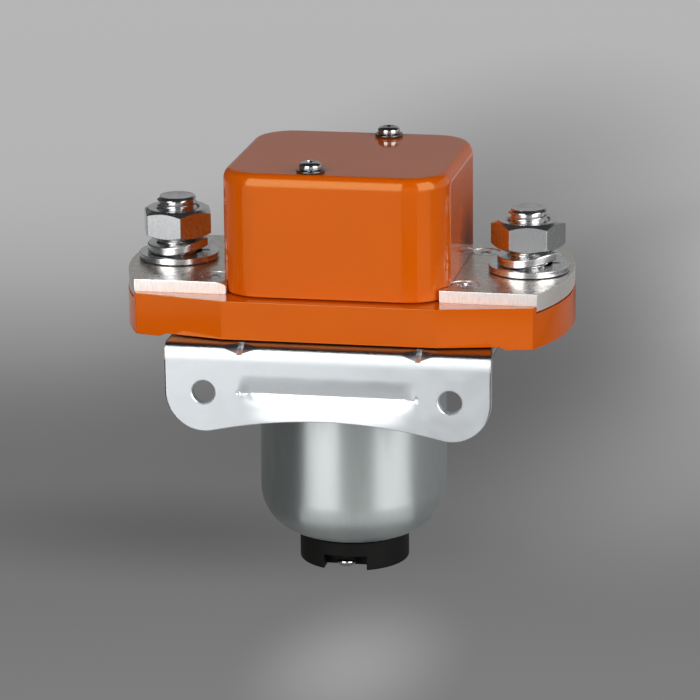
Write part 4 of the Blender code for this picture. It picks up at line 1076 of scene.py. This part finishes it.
def painted_sweep_light(tree, patches=()):
    """Painted light on the sweep: grey by depth, pale far behind and painted shade round the object,
    with soft painted shadows and pools of painted light.
    """
    where = own_place(tree)
    turned = node(tree, "Mapping", {"Vector": where,
                                    "Rotation": (0.0, 0.0, math.radians(PAPER_TURN))})
    depth = remap(tree, axis(tree, turned.outputs["Vector"], "Y"), PAPER_NEAR, PAPER_FAR)
    span = PAPER_FAR - PAPER_NEAR
    tones = [((at - PAPER_NEAR) / span, tone) for at, tone in PAINTED_LIGHT_BY_DEPTH]
    color = ramp(tree, depth, tones, "B_SPLINE")
    for center, reach, tone in (*PAINTED_SHADOW_AND_LIGHT_PATCHES, *patches):
        shift = node(tree, "Mapping", {
            "Vector": where, "Scale": (1 / reach[0], 1 / reach[1], 0.0),
            "Location": (-center[0] / reach[0], -center[1] / reach[1], 0.0)})
        spot = node(tree, "TexGradient", {"Vector": shift.outputs["Vector"]},
                    gradient_type="SPHERICAL").outputs["Fac"]
        soft = remap(tree, spot, 0.0, 1.0, kind="SMOOTHSTEP")
        color = blend(tree, soft, color, (tone, tone, tone), kind="MULTIPLY")
    return color


PAPER_TURN = -15.9
PAPER_NEAR, PAPER_FAR = -0.15, 0.85
# Depth and grey of the sweep's painted light, darker round the object as painted shade
PAINTED_LIGHT_BY_DEPTH = ((-0.15, 0.22), (-0.05, 0.19), (0.05, 0.16), (0.13, 0.16), (0.20, 0.25), (0.30, 0.40),
               (0.42, 0.46), (0.85, 0.47))
# Centre, reach and tone of each soft patch of painted shadow (tone below 1) or painted light (above
# 1), and of those that only reflections see
PAINTED_SHADOW_AND_LIGHT_PATCHES = (((0.035, 0.21), (0.08, 0.21), 0.51), ((0.015, -0.08), (0.03, 0.06), 1.65),
                 ((0.075, 0.18), (0.085, 0.23), 2.3), ((-0.045, 0.01), (0.10, 0.05), 0.72),
                 ((-0.03, 0.34), (0.11, 0.375), 0.59))
MIRRORED_SHADOW_AND_LIGHT_PATCHES = (((0.085, 0.33), (0.085, 0.30), 0.10), ((0.19, 0.19), (0.08, 0.10), 1.5))


def stage_mesh(name, corners, material):
    mesh = bpy.data.meshes.new(name)
    mesh.from_pydata(corners, [], [tuple(range(len(corners)))])
    mesh.materials.append(material)
    piece = place(name, mesh)
    return piece


def reflection_card(name, corners, value, shading=None):
    """A card of plain light that shows only in reflections."""
    material = bpy.data.materials.new(name + "_glow")
    material.use_nodes = True
    tree = material.node_tree
    tree.nodes.clear()
    light = node(tree, "Emission", {"Strength": value})
    if shading is not None:
        feed(tree, light, {"Color": shading(tree)})
    node(tree, "OutputMaterial", {"Surface": light.outputs["Emission"]})
    card = stage_mesh(name, corners, material)
    for ray in ("camera", "diffuse", "shadow", "transmission"):
        setattr(card, "visible_" + ray, False)


def make_floor():
    """The grey sweep: painted light and shade that glow for the camera, a plain grey for the light
    that it returns.
    """
    material, tree, shader = start_material("sweep_grey", (0.12, 0.12, 0.12), 0.0, 0.6)
    tone = node(tree, "Emission", {"Color": painted_sweep_light(tree)})
    mix = node(tree, "MixShader", {0: node(tree, "LightPath").outputs["Is Camera Ray"],
                                   1: shader.outputs["BSDF"], 2: tone.outputs["Emission"]})
    feed(tree, tree.nodes["Material Output"], {"Surface": mix.outputs["Shader"]})
    reach = 12.0
    floor = stage_mesh("floor", [(x, y, 0) for x, y in rectangle(-reach, reach, -reach, reach)],
                       material)
    floor.visible_glossy = False
    reflection_card("paper", [(x, y, 0) for x, y in rectangle(-0.60, 0.24, -0.11, 1.0)], 1.0,
                    lambda tree: painted_sweep_light(tree, MIRRORED_SHADOW_AND_LIGHT_PATCHES))
    reflection_card("back_wall", [(x, 1.0, z) for x, z in rectangle(-0.90, 0.50, 0, 0.9)], 0.34)


def around(azimuth, distance, z=0.0):
    angle = math.radians(azimuth)
    return (distance * math.sin(angle), -distance * math.cos(angle), z)


def box_tone(tree):
    """A soft box's own glow: weaker near the table, and fading out towards the top."""
    height = remap(tree, axis(tree, own_place(tree), "Z"), 0.0, BOX_HEIGHT)
    return ramp(tree, height, BOX_TONES, "EASE")


BOX_DISTANCE, BOX_HEIGHT = 0.8, 1.25
BOX_TONES = ((0.0, 0.50), (0.12, 1.0), (0.60, 1.0), (0.90, 0.0))


def wall(name, left, right, high, value, shading=None):
    card = [around(turn, BOX_DISTANCE, z)
            for turn, z in ((left, 0.0), (right, 0.0), (right, high), (left, high))]
    reflection_card(name + "_card", card, value, shading)


def soft_box(name, azimuth, half_angle):
    """A soft box: a card for the reflections and a lamp for the light."""
    wall(name, azimuth - half_angle, azimuth + half_angle, BOX_HEIGHT, 3.8, box_tone)
    light = bpy.data.lights.new(name, "AREA")
    light.shape = "RECTANGLE"
    light.size = 2 * BOX_DISTANCE * math.sin(math.radians(half_angle))
    light.size_y = 0.6
    light.energy = 5.1
    lamp = place(name, light)
    lamp.location = around(azimuth, BOX_DISTANCE, light.size_y / 2)
    aim = Vector((0.0, 0.0, 0.06)) - lamp.location
    lamp.rotation_euler = aim.to_track_quat("-Z", "Y").to_euler()
    lamp.visible_camera = False
    lamp.visible_glossy = False


def table(name, edge, far, value, z=0.0):
    """A lit part of the table, from an edge of turns and reaches out to a far reach."""
    turns = [edge[0][0] + (edge[-1][0] - edge[0][0]) * i / 12 for i in range(13)]
    corners = [around(turn, far, z) for turn in turns]
    corners += [around(turn, near, z) for turn, near in reversed(edge)]
    reflection_card(name, corners, value)


def light_studio():
    world = bpy.data.worlds.new("studio")
    bpy.context.scene.world = world
    world.use_nodes = True
    tree = world.node_tree
    up = axis(tree, node(tree, "TexCoord").outputs["Generated"], "Z")
    level = remap(tree, up, 0.25, 0.85, (0.21, 0.05), "SMOOTHSTEP")
    glossy = node(tree, "LightPath").outputs["Is Glossy Ray"]
    feed(tree, tree.nodes["Background"], {"Strength": mix_values(tree, glossy, level, 0.03),
                                          "Color": (0.97, 0.99, 1.0, 1.0)})
    soft_box("left_box", -26.0, 19.4)
    soft_box("right_box", 59.0, 23.0)
    wall("gap_wall", -6.5, 36.0, 0.35, 0.50)
    wall("right_wall", 82.2, 150.0, 0.40, 0.62)
    wall("left_wall", -150.0, -45.6, 0.40, 0.07)
    table("left_return", ((-55.0, 0.32), (-34.0, 0.31), (-28.0, 0.255), (-6.0, 0.255)), 0.40, 0.70)
    table("right_return", ((33.0, 0.25), (68.0, 0.25)), 0.40, 0.70)
    for number, (near, far, value) in enumerate(FAR_TABLE):
        table("left_foot_%d" % number, ((-55.0, near), (-6.0, near)), far, value)
        table("right_foot_%d" % number, ((33.0, near), (68.0, near)), far, value * 0.85)
    table("right_side", ((68.0, 0.30), (125.0, 0.30)), 0.78, 0.20)
    table("gap_return", ((-6.0, 0.42), (33.0, 0.42)), 0.78, 0.40)
    for number, (left, right, near, far, value) in enumerate(NEAR_TABLE):
        edge = [(left + (right - left) * i / 8, near) for i in range(9)]
        table("near_table_%d" % number, edge, far, value, 0.0004)


# Near reach, far reach and glow
FAR_TABLE = tuple((0.40 + 0.038 * step, 0.438 + 0.038 * step, 0.74 + 0.0135 * step ** 2)
                  for step in range(10))
# Left turn, right turn, near reach, far reach and glow
NEAR_TABLE = ((-135.0, -46.0, 0.03, 0.245, 0.11), (-46.0, -6.0, 0.03, 0.245, 0.50),
              (-6.0, 36.0, 0.03, 0.10, 0.50), (-6.0, 36.0, 0.10, 0.245, 0.17),
              (-6.0, 36.0, 0.245, 0.31, 0.80),
              (36.0, 75.0, 0.03, 0.245, 0.46), (75.0, 150.0, 0.03, 0.245, 0.20))


def make_camera():
    """The photograph's viewpoint: azimuth from -Y towards +X, elevation, roll and distance."""
    azimuth, elevation, roll = math.radians(11.236), math.radians(15.576), -0.0112
    distance, focal_pixels, image_width = 0.98122, 3929.76, 700
    target = Vector((-0.00070, 0.0, 0.05358))
    back = Vector((math.sin(azimuth) * math.cos(elevation),
                   -math.cos(azimuth) * math.cos(elevation), math.sin(elevation)))
    right = Vector((math.cos(azimuth), math.sin(azimuth), 0.0))
    up = back.cross(right)
    turned_right = math.cos(roll) * right + math.sin(roll) * up
    turned_up = -math.sin(roll) * right + math.cos(roll) * up
    data = bpy.data.cameras.new("photo_view")
    data.sensor_width = 36.0
    data.lens = data.sensor_width * focal_pixels / image_width
    data.clip_start = 0.01
    camera = place("photo_view", data)
    place_at = [center + toward * distance for center, toward in zip(target, back)]
    camera.matrix_world = Matrix((*zip(turned_right, turned_up, back, place_at),
                                  (0.0, 0.0, 0.0, 1.0)))
    bpy.context.scene.camera = camera


make_camera()
make_base()
make_cover()
for side_name, side_sign in SIDES:
    make_plate(side_name, side_sign)
    for end_name, end_sign in ENDS:
        make_plate_screw(side_name, side_sign, end_name, end_sign, 25.0 + 30 * side_sign * end_sign)
    for make in (make_stud, make_flat_washer, make_spring_washer, make_nut):
        make(side_name, side_sign)
make_cover_screw("front", -1, 35.0)
make_cover_screw("back", 1, 10.0)
make_bracket()
make_bracket_screws()
make_can()
make_cap()
make_coil_terminals()
make_cap_screw()
dress_inner_pieces()
make_springs()
make_floor()
light_studio()
bpy.context.scene.view_settings.view_transform = "Standard"
